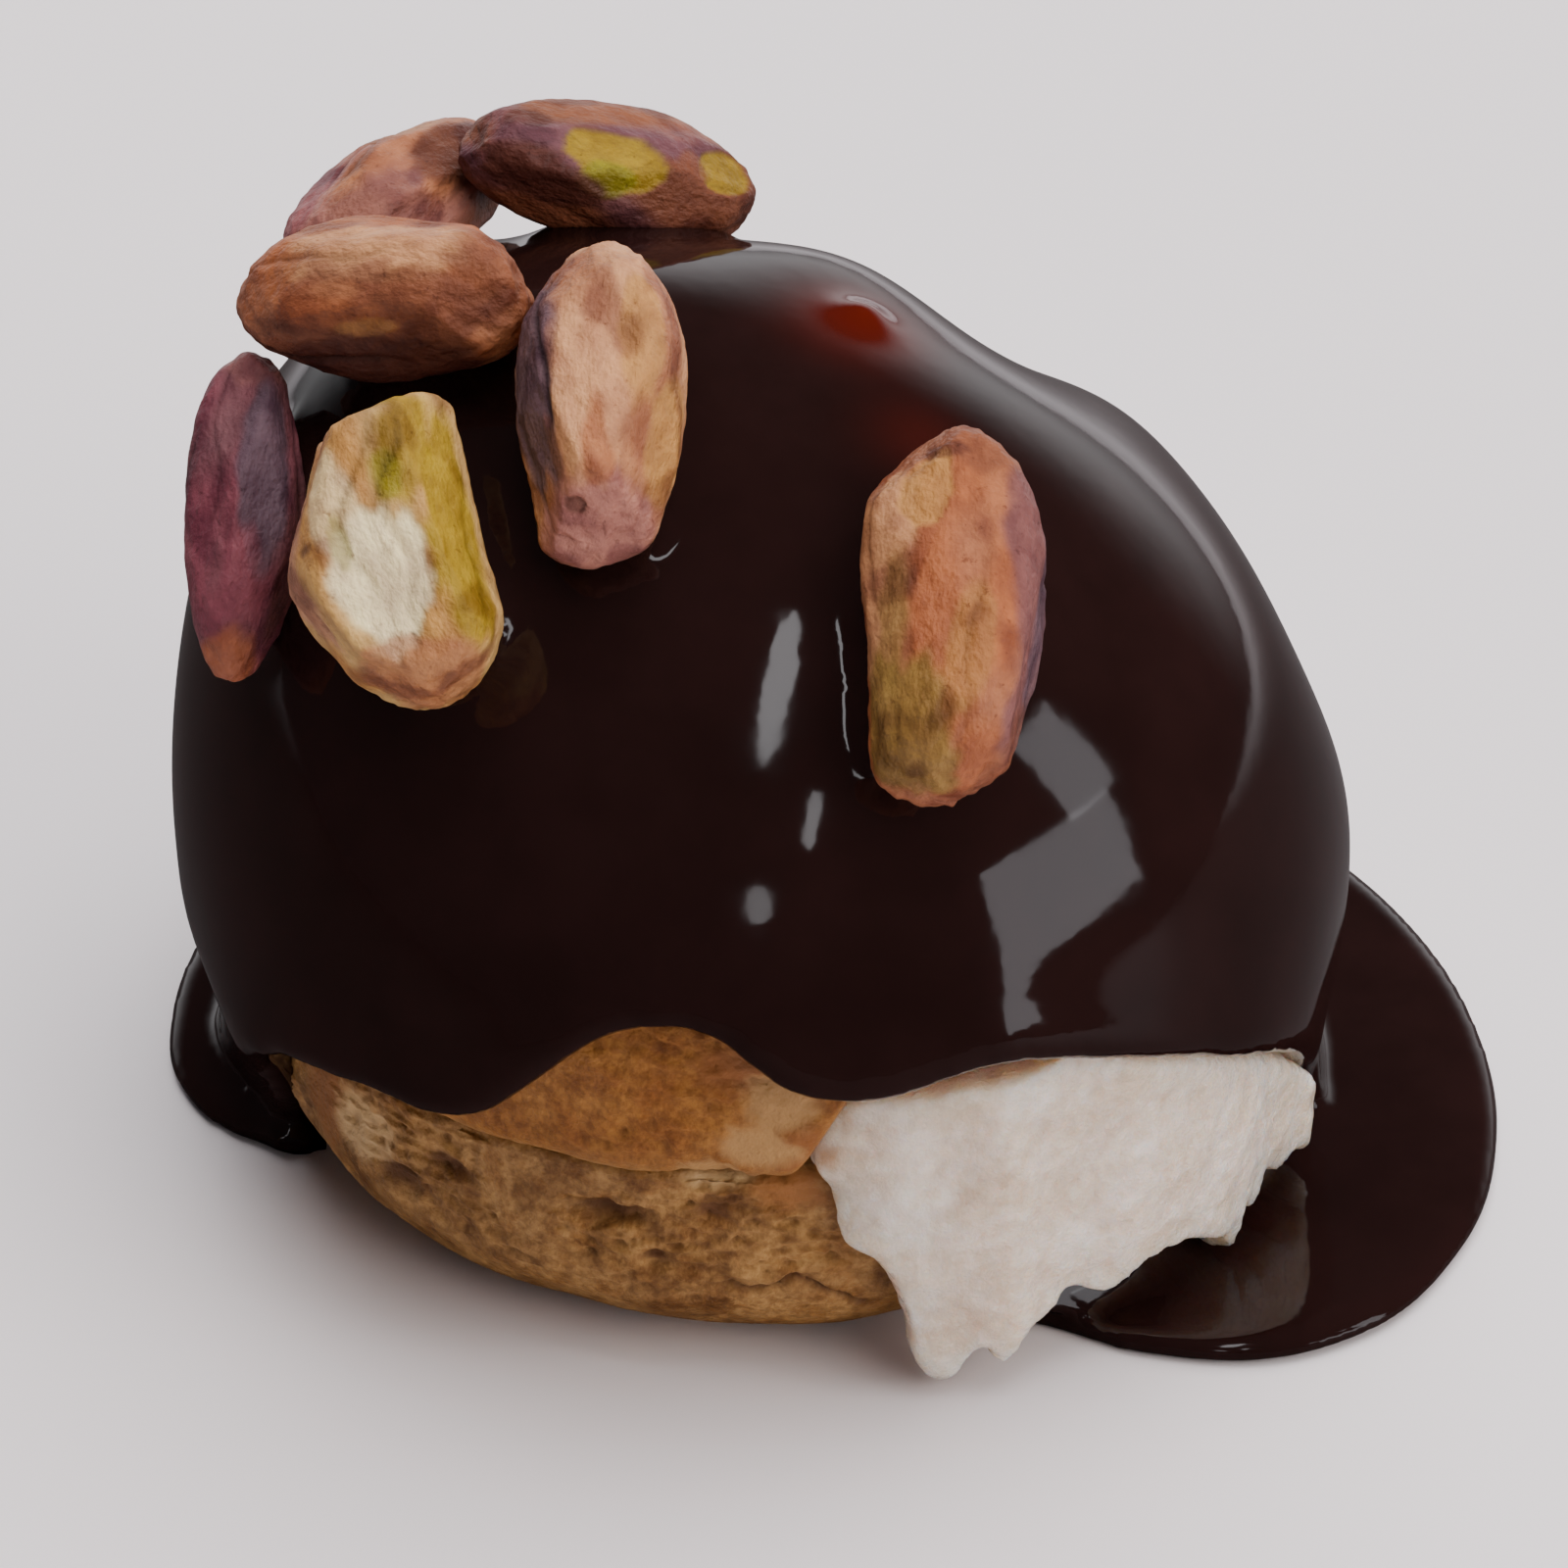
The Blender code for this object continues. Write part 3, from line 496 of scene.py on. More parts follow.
def makeKernel(number, place):
    length, width, thickness = place[4:7]
    bluntFirst, bluntSecond = place[8:10]
    middle, along, across, up = kernelFrame(place)
    twoRidges, threeRidges = kernelShape["ridges"]
    bend = kernelShape["bend"] * length * cos(number)
    bpy.ops.object.select_all(action='DESELECT')
    segments, rings = kernelShape["segments"], kernelShape["rings"]
    bpy.ops.mesh.primitive_uv_sphere_add(segments=segments, ring_count=rings, radius=1)
    kernel = bpy.context.object
    kernel.name = f"pistachioKernel{number}"
    ball = pointsOf(kernel)
    share = np.clip(ball[:, 2], -1, 1)
    turn = np.arctan2(ball[:, 1], ball[:, 0])
    blunt = np.where(share > 0, bluntFirst, bluntSecond)
    fat = (1 - np.abs(share) ** blunt) ** kernelShape["fullness"]
    ridge = 1 + twoRidges * np.cos(2 * turn + number) + threeRidges * np.cos(3 * turn + 2 * number + 3 * share)
    onBall = np.stack([np.cos(turn) * fat, np.sin(turn) * fat, share * 1.5], 1)
    lumps = 1 + kernelShape["lumps"] * noiseAt(onBall, 0.8, number)
    own = np.stack([share, np.cos(turn) * fat * ridge * lumps, np.sin(turn) * fat * ridge * lumps], 1)
    own[:, 1:] *= kernelShape["swollen"]
    # flattened sides, as a kernel dries against its shell and its neighbours
    chance = np.random.default_rng(50 + number)
    for _ in range(kernelShape["facets"]):
        side = chance.uniform(0, 2 * pi)
        direction = (chance.uniform(-0.7, 0.7), cos(side), sin(side))
        own = flatten(own, direction, chance.uniform(*kernelShape["facetLimits"]), kernelShape["facetEdge"])
    for direction, limit in kernelCuts[number - 1]:
        own = flatten(own, direction, limit, kernelShape["cutEdge"])
    size = np.array((length, width, thickness)) / 2
    ownPlace = own * size
    colour, bare = kernelSkin(own, ownPlace, number)
    # creases that run along it, fine wrinkles, and a step down where the skin is missing
    sink = kernelShape["bareDepth"] * bare
    lines = np.zeros(len(own))
    for _ in range(kernelShape["creases"]):
        line = chance.uniform(-pi, pi)
        line = line + 0.35 * noiseAt(np.stack([share, share * 0, share * 0], 1), 0.6, chance.uniform(1, 90))
        off = np.abs((turn - line + pi) % (2 * pi) - pi)
        reach = ease((0.75 - np.abs(share - chance.uniform(-0.5, 0.5))) / 0.3)
        crease = chance.uniform(0.4, 1) * np.exp(-((off / kernelShape["creaseWidth"]) ** 2)) * reach
        sink += kernelShape["creaseDepth"] * crease
        lines = np.maximum(lines, crease * (1 - bare))
    sink += kernelShape["dentDepth"] * noiseAt(ownPlace, kernelShape["dentGrain"], number + 5, (1.5, 1, 1))
    wrinkles = noiseAt(ownPlace, kernelShape["wrinkleGrain"], number + 9, (1.5, 1, 1))
    sink += kernelShape["wrinkleDepth"] * np.abs(wrinkles)
    sink += kernelShape["fineDepth"] * noiseAt(ownPlace, kernelShape["fineGrain"], number + 12, (1.4, 1, 1))
    # painted shade: the colour is darker in the creases, dents and wrinkles and along the crease lines, and
    # paler on the ridges
    deep = sink - kernelShape["bareDepth"] * bare
    shade = 1.12 - kernelShape["creaseShade"] * ease((deep + 0.01) / 0.12) - kernelShape["lineShade"] * lines
    colour = np.clip(colour * shade[:, None], 0.004, 1)
    inward = own / np.maximum(np.linalg.norm(own[:, 1:], axis=1, keepdims=True), 0.35)
    inward[:, 0] *= 0.3
    own = own - inward * sink[:, None]
    bowed = bend * (share * share - 0.4)
    placed = own * size
    placed[:, 1] += bowed
    setPoints(kernel, middle + placed[:, :1] * along + placed[:, 1:2] * across + placed[:, 2:] * up)
    paintColours(kernel, "skinColour", colour)
    paintVectors(kernel, "ownPlace", ownPlace)
    closeUp(kernel)
    return kernel


def kernelSkin(own, ownPlace, number):
    # the skin's colour at each point, and where the skin is missing
    ground, second, patches = kernelPaint[number - 1]
    streaks = noiseAt(ownPlace, kernelShape["streakGrain"], number + 20, (3, 1, 1))
    first, second = np.array(kernelTones[ground]), np.array(kernelTones[second])
    colour = first + (second - first) * ease(streaks * 1.6 + 0.35)[:, None]
    ragged = 0.28 * noiseAt(ownPlace, kernelShape["raggedGrain"], number + 30, (1.8, 1, 1))
    ragged += 0.20 * noiseAt(ownPlace, kernelShape["tornGrain"], number + 40, (2.2, 1, 1))
    bare = np.zeros(len(own))
    for centre, (reachAlong, reachAround), tone, cover, missing in patches:
        reach = np.array((reachAlong, reachAround, reachAround))
        distance = np.linalg.norm((own - np.array(centre)) / reach, axis=1)
        share = ease((1 - distance + ragged) / (0.16 if missing else 0.34) + 0.5)
        colour += (np.array(kernelTones[tone]) - colour) * (cover * share)[:, None]
        if missing:
            bare = np.maximum(bare, share)
    blemish = noiseAt(ownPlace, kernelShape["blemishGrain"], number + 50, (1.7, 1, 1))
    blemish = ease((blemish - 0.12) / 0.3) * (1 - 0.8 * bare)
    colour *= 1 - blemish[:, None] * np.array(kernelShape["blemishShade"])
    return np.clip(colour, 0.004, 1), bare


def makeKernelMaterial():
    material, tree, shader = newMaterial(
        "pistachio skin", Roughness=0.5, Subsurface_Weight=0.05, Subsurface_Scale=0.0005,
        Subsurface_Radius=(1.0, 0.5, 0.3), Specular_IOR_Level=0.28)
    links = tree.links
    own = readAttribute(tree, "ownPlace", (-1300, -100))
    skin = readAttribute(tree, "skinColour", (-1300, 250))
    stretched = addNode(tree, 'ShaderNodeMapping', (-1100, -100))
    stretched.inputs["Scale"].default_value = (0.7, 1, 1)
    links.new(own.outputs["Vector"], stretched.inputs["Vector"])
    lengthwise = stretched.outputs["Vector"]
    # paler and darker streaks in the papery skin
    streaks = placeGroup(
        tree, mottleGroup, (-850, 200), lengthwise,
        Grain=900.0, Light=(1.12, 1.10, 1.05, 1), Dark=(0.76, 0.69, 0.70, 1), Balance=0.5, Softness=0.18)
    streaked = mixColours(tree, 1.0, skin.outputs["Color"], streaks.outputs["Color"], (-550, 250), 'MULTIPLY')
    # darker flecks
    flecks = placeGroup(
        tree, mottleGroup, (-850, -100), own.outputs["Vector"],
        Grain=2600.0, Light=(1, 1, 1, 1), Dark=(0.45, 0.36, 0.36, 1), Balance=0.66, Softness=0.06)
    flecked = mixColours(tree, 0.75, streaked, flecks.outputs["Color"], (-300, 250), 'MULTIPLY')
    links.new(flecked, shader.inputs["Base Color"])
    addGrain(tree, shader, (-300, -250), lengthwise, Grain=1300.0, Fine_share=0.35, Depth=0.00026)
    links.new(remap(tree, flecks.outputs["Mask"], 0, 1, (100, -350), 0.42, 0.62), shader.inputs["Roughness"])
    return material


kernelMaterial = makeKernelMaterial()
kernels = [makeKernel(number, place) for number, place in enumerate(kernelPlaces, start=1)]
print("kernels shaped")


# chocolate coat

coat = {
    "footJoinZ": 0.0006,
    "edge": (  # azimuth in degrees and height of the lower edge; elsewhere it runs into the foot
        (-170, 0.0006), (-163, 0.0030), (-154, 0.0082), (-144, 0.0120), (-131, 0.0136), (-119, 0.0142),
        (-105, 0.0190), (-96, 0.0194), (-87, 0.0170), (-80, 0.0166), (-68, 0.0172), (-55, 0.0158),
        (-44, 0.0138), (-33, 0.0112), (-24, 0.0082), (-15, 0.0042), (-5, 0.0006),
    ),
    "beadSwell": 0.00026, "beadUneven": 0.6, "beadGrain": 0.0045, "beadReach": 0.00190,
    "edgeRound": 0.0007, "rimWidth": 0.0022, "rimPasses": 30,
    # heights, reaches, azimuths of the sides, and how far the sides fade in and out
    "skirt": 0.0006, "skirtTop": 0.0240, "skirtReach": 0.0090,
    "skirtSides": (-165, -12), "skirtFades": (28, 30), "flare": 0.0020, "flareReach": 0.0052,
    "cling": 0.0014, "clingTop": 0.0125, "clingReach": 0.008,
    "clingSides": (-186, -143), "clingFades": (22, 14),
    "columns": 540, "outerRows": 170, "innerRows": 50,
    "voxel": 0.00034, "passes": 5, "keptInside": 0.10, "insideAbove": 0.006,
    "meniscusHeight": 0.00042, "meniscusReach": 0.00055,
    "unevenGrain": 0.0070, "unevenDepth": 0.00004,
    # small marks of the pour: azimuth, polar, half width, height
    "marks": ((38, 11.5, 0.0011, 0.0005),),
    # spots where the glaze is thin, painted with a red glow as of light shining through it: azimuth, polar,
    # half width, share
    "thinGlowSpots": ((36, 11.0, 0.0027, 0.90), (-36, 18, 0.0022, 0.25)),
}
foot = {
    "height": 0.0011, "innerRadius": 0.0188, "rimRound": 0.0013, "columns": 620, "rows": 16,
    "outline": (
        (-58, 0.0205), (-52, 0.0240), (-45, 0.0277), (-36, 0.0302), (-23, 0.0311), (-8, 0.0308), (8, 0.0300),
        (45, 0.0282), (90, 0.0270), (135, 0.0262), (170, 0.0256), (182, 0.0248), (190, 0.0232), (196, 0.0212),
    ),
    "climbRadius": 0.0206, "climbZ": 0.0031, "climbFoot": 0.0019, "climbSides": (-64, 2),
    "climbFades": (6, 12), "rimFrom": 0.0236,
}


def coatSpread(azimuth, height):
    # how far the glaze stands out past the dome: a skirt in front, a flare over the foot
    start, end = coat["skirtSides"]
    fadeIn, fadeOut = coat["skirtFades"]
    inFront = ease((azimuth - start) / fadeIn) * ease((end - azimuth) / fadeOut)
    skirt = coat["skirt"] * inFront * np.clip((coat["skirtTop"] - height) / coat["skirtReach"], 0, 1.3) ** 2
    # at the left it runs down against the bun
    start, end = coat["clingSides"]
    fadeIn, fadeOut = coat["clingFades"]
    past, left = (azimuth - start) % 360, (end - azimuth) % 360
    atLeft = ease(past / fadeIn) * ease(left / fadeOut) * (past < end - start)
    cling = coat["cling"] * atLeft * ease((coat["clingTop"] - height) / coat["clingReach"])
    flare = coat["flare"] * np.clip(1 - (height - coat["footJoinZ"]) / coat["flareReach"], 0, 1) ** 2.2
    return skirt + flare * (1 - atLeft) - cling


def makeDomeShell():
    # from the top down the outside, round the lower edge and up the inside
    azimuth = np.linspace(-180, 180, coat["columns"] + 1)
    edge = alongOutline(coat["edge"], azimuth, coat["footJoinZ"])
    edgePolar = polarAtHeight(edge)
    rows = []
    for k in range(coat["outerRows"] + 1):
        polar = edgePolar * (1 - (1 - k / coat["outerRows"]) ** 1.1)
        height = onDome(azimuth, polar)[:, 2]
        rows.append(onDome(azimuth, polar, coatSpread(azimuth, height)))
    outer = radialOf(rows.pop())
    bead = coat["edgeRound"]
    for inward, upward in ((0.1, 0.8), (0.35, 0.3), (1, 0), (2.3, 0.15)):
        rows.append(around(azimuth, outer - bead * inward, edge + bead * upward))
    innerPolar = polarAtHeight(edge + bead * 1.3)
    for k in range(coat["innerRows"] + 1):
        polar = innerPolar * (1 - k / coat["innerRows"])
        spread = np.minimum(coatSpread(azimuth, onDome(azimuth, polar)[:, 2]), 0)
        rows.append(onDome(azimuth, polar, spread - dome["wall"]))
    return wrappedSheet("chocolateGlaze", np.array(rows))


def awayFromEdge(points):
    # distance from each point to the free lower edge of the glaze
    azimuth = np.linspace(-170, -3, 1500)
    edge = alongOutline(coat["edge"], azimuth, coat["footJoinZ"])
    line = onDome(azimuth, polarAtHeight(edge), coatSpread(azimuth, edge) - dome["wall"] / 2)[edge > 0.0024]
    tree = KDTree(len(line))
    for i, point in enumerate(line):
        tree.insert(point, i)
    tree.balance()
    return np.array([tree.find(point)[2] for point in points])


def roundFootRim(points):
    # the puddle's thin rim is set back on its own smooth curve
    azimuth, radial = azimuthOf(points), radialOf(points)
    outer = alongOutline(foot["outline"], azimuth)
    centre, half = outer - foot["rimRound"], foot["height"] / 2
    onRim = (outer > foot["rimFrom"]) & (radial > centre) & (points[:, 2] < foot["height"] * 1.3)
    turn = np.arctan2((points[:, 2] - half) / half, np.maximum(radial - centre, 0) / foot["rimRound"])
    radius = np.where(onRim, centre + foot["rimRound"] * np.cos(turn), radial)
    height = np.where(onRim, half + half * np.sin(turn), points[:, 2])
    return around(azimuth, radius, height)


def makeFoot():
    # a low slab with a rounded rim, bent round the bun, that climbs against it
    azimuth = np.linspace(foot["outline"][0][0], foot["outline"][-1][0], foot["columns"])
    outer = alongOutline(foot["outline"], azimuth)
    height, rim, climb = foot["height"], foot["rimRound"], foot["climbRadius"]
    rows = [around(azimuth, foot["innerRadius"], 0.0), around(azimuth, outer - rim * 0.4, 0.0)]
    for turn in np.radians(np.linspace(-60, 90, foot["rows"])):
        rows.append(around(azimuth, outer - rim * (1 - np.cos(turn)), height / 2 + height / 2 * np.sin(turn)))
    flatEnd = np.maximum(outer - rim, climb + foot["climbFoot"] * 0.6)
    start, end = foot["climbSides"]
    fadeIn, fadeOut = foot["climbFades"]
    climbs = ease((azimuth - start) / fadeIn) * ease((end - azimuth) / fadeOut)
    climbTop = height * 1.2 + (foot["climbZ"] - height * 1.2) * climbs
    for share in np.linspace(0, 1, foot["rows"]):
        radius = flatEnd + (climb - flatEnd) * share
        near = np.clip(1 - (radius - climb) / foot["climbFoot"], 0, 1)
        rows.append(around(azimuth, radius, height + (climbTop - height) * near ** 2))
    rows.append(around(azimuth, climb - 0.0005, climbTop - 0.0002))
    rows.append(around(azimuth, foot["innerRadius"], 0.0))
    rows = np.array(rows)
    # both ends close on a point inside the slab
    middle = rows.mean(0, keepdims=True)
    ends = middle[:, :1].repeat(len(rows), 0), middle[:, -1:].repeat(len(rows), 0)
    closed = np.concatenate([ends[0], rows, ends[1]], 1)
    return wrappedSheet("chocolateFoot", closed)


def awayFromKernels(points, reach):
    # distance from each point to the nearest kernel's skin, up to reach
    nearest = np.full(len(points), reach)
    for kernel in kernels:
        tree = BVHTree.FromObject(kernel, bpy.context.evaluated_depsgraph_get())
        body = pointsOf(kernel)
        close = np.all((points > body.min(0) - reach) & (points < body.max(0) + reach), axis=1)
        for i in np.nonzero(close)[0]:
            found = tree.find_nearest(Vector(points[i]), reach)
            if found[0] is not None:
                inside = (Vector(points[i]) - found[0]).dot(found[1]) < 0
                nearest[i] = min(nearest[i], 0.0 if inside else found[3])
    return nearest


def makeCoat():
    piece = makeDomeShell()
    joinInto(piece, makeFoot())
    remesh(piece, coat["voxel"], coat["passes"])
    points, out = pointsOf(piece), normalsOf(piece)
    # the free edge is worn round, and the hidden inner side keeps few faces
    rim = ease(1.25 - awayFromEdge(points) / coat["rimWidth"])
    group = piece.vertex_groups.new(name="rim")
    for i in np.nonzero(rim > 0.01)[0]:
        group.add([int(i)], float(rim[i]), 'REPLACE')
    passes = coat["rimPasses"]
    applyModifier(piece, "round the rim", 'SMOOTH', factor=0.5, iterations=passes, vertex_group="rim")
    away = points - np.array((0, 0, dome["widestZ"]))
    facing = np.einsum('ij,ij->i', away / np.linalg.norm(away, axis=1, keepdims=True), out)
    inner = (facing < -0.3) & (points[:, 2] > coat["insideAbove"]) & (rim < 0.01)
    group = piece.vertex_groups.new(name="inner side")
    group.add([int(i) for i in np.nonzero(inner)[0]], 1.0, 'REPLACE')
    kept = 1 - (1 - coat["keptInside"]) * inner.mean()
    applyModifier(
        piece, "thin the inner side", 'DECIMATE', ratio=kept,
        vertex_group="inner side", vertex_group_factor=10)
    setPoints(piece, roundFootRim(pointsOf(piece)))
    points, out = pointsOf(piece), normalsOf(piece)
    radial = radialOf(points)
    away = points - np.array((0, 0, dome["widestZ"]))
    shows = (np.einsum('ij,ij->i', away, out) > 0) | (radial > dome["radius"])
    rise = coat["unevenDepth"] * noiseAt(points, coat["unevenGrain"], 4) * shows
    bead = 1 + coat["beadUneven"] * noiseAt(points, coat["beadGrain"], 6)
    rise += coat["beadSwell"] * bead * np.exp(-((awayFromEdge(points) / coat["beadReach"]) ** 2))
    near = awayFromKernels(points, coat["meniscusReach"] * 3)
    rise += coat["meniscusHeight"] * np.exp(-((near / coat["meniscusReach"]) ** 2)) * shows
    thin = np.zeros(len(points))
    for azimuth, polar, width, height in coat["marks"]:
        rise += height * nearSpot(points, azimuth, polar, width) * shows
    # the thin spots carry a painted red glow of light through the glaze
    for azimuth, polar, width, share in coat["thinGlowSpots"]:
        thin += share * nearSpot(points, azimuth, polar, width)
    setPoints(piece, points + out * rise[:, None])
    paintNumbers(piece, "thin", np.clip(thin, 0, 1))
    return piece


def makeChocolate():
    material, tree, shader = newMaterial("dark chocolate glaze", Roughness=0.06, IOR=1.42)
    links = tree.links
    place = addNode(tree, 'ShaderNodeTexCoord', (-1100, 0))
    thin = readAttribute(tree, "thin", (-900, 300))
    body = placeGroup(
        tree, mottleGroup, (-800, 50), place.outputs["Object"], Grain=160.0, Balance=0.5, Softness=0.2,
        Light=(0.0155, 0.0058, 0.0052, 1), Dark=(0.0110, 0.0040, 0.0035, 1))
    # painted red glow where the glaze is thin, as of light shining through
    clear = (0.085, 0.006, 0.002, 1)
    glowTinted = mixColours(tree, thin.outputs["Fac"], body.outputs["Color"], clear, (-400, 150))
    links.new(glowTinted, shader.inputs["Base Color"])
    # a skin that has begun to set: slight ripples and a little uneven gloss
    addGrain(tree, shader, (-400, -250), place.outputs["Object"], Grain=220.0, Fine_share=0.05, Depth=0.00003)
    links.new(remap(tree, body.outputs["Mask"], 0, 1, (0, -200), 0.045, 0.085), shader.inputs["Roughness"])
    return material


coatPiece = makeCoat()
print("coat shaped")


# split choux bun

bun = {
    "flatSpot": 0.0140, "radius": 0.0209, "widestZ": 0.0062, "shoulder": 0.0003,
    "lean": 0.0003, "leanTo": -140, "cutZ": 0.0109, "cutSlope": 0.03,
    "rimRound": 0.0011, "columns": 560, "sideRows": 110,
    "lidCutZ": 0.0144, "lidCutSlope": 0.17, "lidRimRound": 0.0012, "lipStart": 0.0190, "lipRun": 0.0016,
    # the lid's lip is left off round this azimuth, for so many degrees each way, where the cream hangs out
    "openAt": -40, "openHalf": 40, "openFade": 8,
    "lidClearance": 0.0006, "gap": 0.00008,
    # torn pits: azimuth, height, half width, half height, depth
    "pits": (
        (-108.1, 0.0081, 0.0016, 0.00050, 0.0007), (-102.5, 0.0063, 0.0005, 0.0003, 0.0004),
        (-135, 0.0063, 0.0010, 0.0006, 0.0004), (-143.6, 0.0042, 0.0004, 0.0004, 0.0004),
        (-128, 0.0080, 0.0010, 0.0004, 0.0003), (-96, 0.0088, 0.0007, 0.0004, 0.0003),
    ),
    # cracks: a run of azimuth and height, then half width and depth
    "cracks": (((-94, 0.0049), (-90, 0.0050), (-86.7, 0.0056), (-83, 0.0048), (-80, 0.0040)), 0.00016, 0.00035),
    "pores": 520, "poreSizes": (0.00009, 0.00026), "poreDepth": 0.00022,
    "poreSides": (-165, -60), "poreHeights": (0.004, 0.018),
    "wrinkleDepth": 0.00024, "lumpDepth": 0.00028, "flakeDepth": 0.00018, "crumbDepths": (0.00012, 0.00022),
    "lumpGrain": 0.0042, "wrinkleGrain": 0.0016, "roughGrain": 0.005, "flakeGrain": 0.0007,
    "tornGrains": (0.0011, 0.0004), "crackGrain": 0.0009, "crumbGrain": 0.0005,
    "sideFade": 0.003, "roughFrom": 0.0035, "roughFade": 0.002,
    # open crumb and toasted patches, the last toasted one being painted shade at the base's left end: azimuth,
    # height, half width, half height
    "crumbs": (
        (-96, 0.0111, 0.0014, 0.0011), (-91, 0.0130, 0.0014, 0.0012), (-88.5, 0.0150, 0.0014, 0.0014),
        (-141, 0.0075, 0.0016, 0.0014),
    ),
    "toastsAndShade": (
        (-87.5, 0.0103, 0.0014, 0.0012), (-93.0, 0.0166, 0.0016, 0.0009), (-86.5, 0.0128, 0.0012, 0.0012),
        # painted shade at the base's left end, beside the glaze
        (-148, 0.0080, 0.0013, 0.0030),
    ),
}


def bunCut(x):
    return bun["cutZ"] + bun["cutSlope"] * x


def lidCut(x):
    return bun["lidCutZ"] + bun["lidCutSlope"] * x


def alongCrust(azimuth, other):
    return np.radians(angleBetween(azimuth, other)) * bun["radius"]


def bunRadius(azimuth, height):
    widest = bun["radius"] + bun["lean"] * np.cos(np.radians(azimuth - bun["leanTo"]))
    fall = np.clip((bun["widestZ"] - height) / bun["widestZ"], 0, 1)
    low = bun["flatSpot"] + (widest - bun["flatSpot"]) * np.sqrt(1 - fall * fall)
    high = widest - bun["shoulder"] * ((height - bun["widestZ"]) / bun["widestZ"]) ** 2
    return np.where(height < bun["widestZ"], low, high)


def makeBottomBun():
    azimuth = np.linspace(-180, 180, bun["columns"] + 1)
    top = bunCut(bun["radius"] * np.cos(np.radians(azimuth)))
    rows = [around(azimuth, 0.0, 0.0)]
    rows += [around(azimuth, bun["flatSpot"] * share, 0.0) for share in (0.25, 0.5, 0.75)]
    for k in range(bun["sideRows"] + 1):
        share = k / bun["sideRows"]
        belly = bun["widestZ"] * (1 - np.cos(pi * share))
        wall = bun["widestZ"] + (top - bun["rimRound"] * 0.5 - bun["widestZ"]) * (2 * share - 1)
        height = np.where(share < 0.5, belly, wall)
        rows.append(around(azimuth, bunRadius(azimuth, height), height))
    rim = bunRadius(azimuth, top)
    for inward, down in ((0.15, 0.25), (0.5, 0.06)):
        rows.append(around(azimuth, rim - bun["rimRound"] * inward, top - bun["rimRound"] * down))
    for radius in (rim - bun["rimRound"], rim * 0.7, rim * 0.4):
        rows.append(around(azimuth, radius, bunCut(radius * np.cos(np.radians(azimuth)))))
    rows.append(around(azimuth, 0.0, bunCut(0.0)))
    piece = wrappedSheet("bunBottom", np.array(rows))
    tearCrust(piece, 21)
    return piece


def lidUnderside(azimuth, radius):
    # the cut face, with a lip that comes down on the bottom half away from the cream
    x = radius * np.cos(np.radians(azimuth))
    shut = ease((angleBetween(azimuth, bun["openAt"]) - bun["openHalf"]) / bun["openFade"])
    lip = ease((radius - bun["lipStart"]) / bun["lipRun"]) * shut
    return lidCut(x) + (np.minimum(lidCut(x), bunCut(x) + bun["gap"]) - lidCut(x)) * lip


def makeLid():
    inset = -(dome["wall"] + bun["lidClearance"])
    azimuth = np.linspace(-180, 180, bun["columns"] + 1)
    bottom = lidUnderside(azimuth, np.full(azimuth.shape, dome["radius"] + inset))
    sideEnd = polarAtHeight(bottom + bun["lidRimRound"])
    rows = []
    for k in range(bun["sideRows"] + 1):
        rows.append(onDome(azimuth, sideEnd * (k / bun["sideRows"]) ** 0.8, inset))
    rim = rows[-1]
    outer = radialOf(rim)
    for turn in np.radians((20, 40, 60, 80)):
        radius = outer - bun["lidRimRound"] * (1 - np.cos(turn))
        floor = lidUnderside(azimuth, radius)
        rows.append(around(azimuth, radius, rim[:, 2] + (floor - rim[:, 2]) * np.sin(turn)))
    for share in (1.0, 0.65, 0.3, 0.0):
        radius = np.full(azimuth.shape, bun["lipStart"] * share)
        rows.append(around(azimuth, radius, lidUnderside(azimuth, radius)))
    piece = wrappedSheet("bunLid", np.array(rows))
    tearCrust(piece, 22)
    return piece


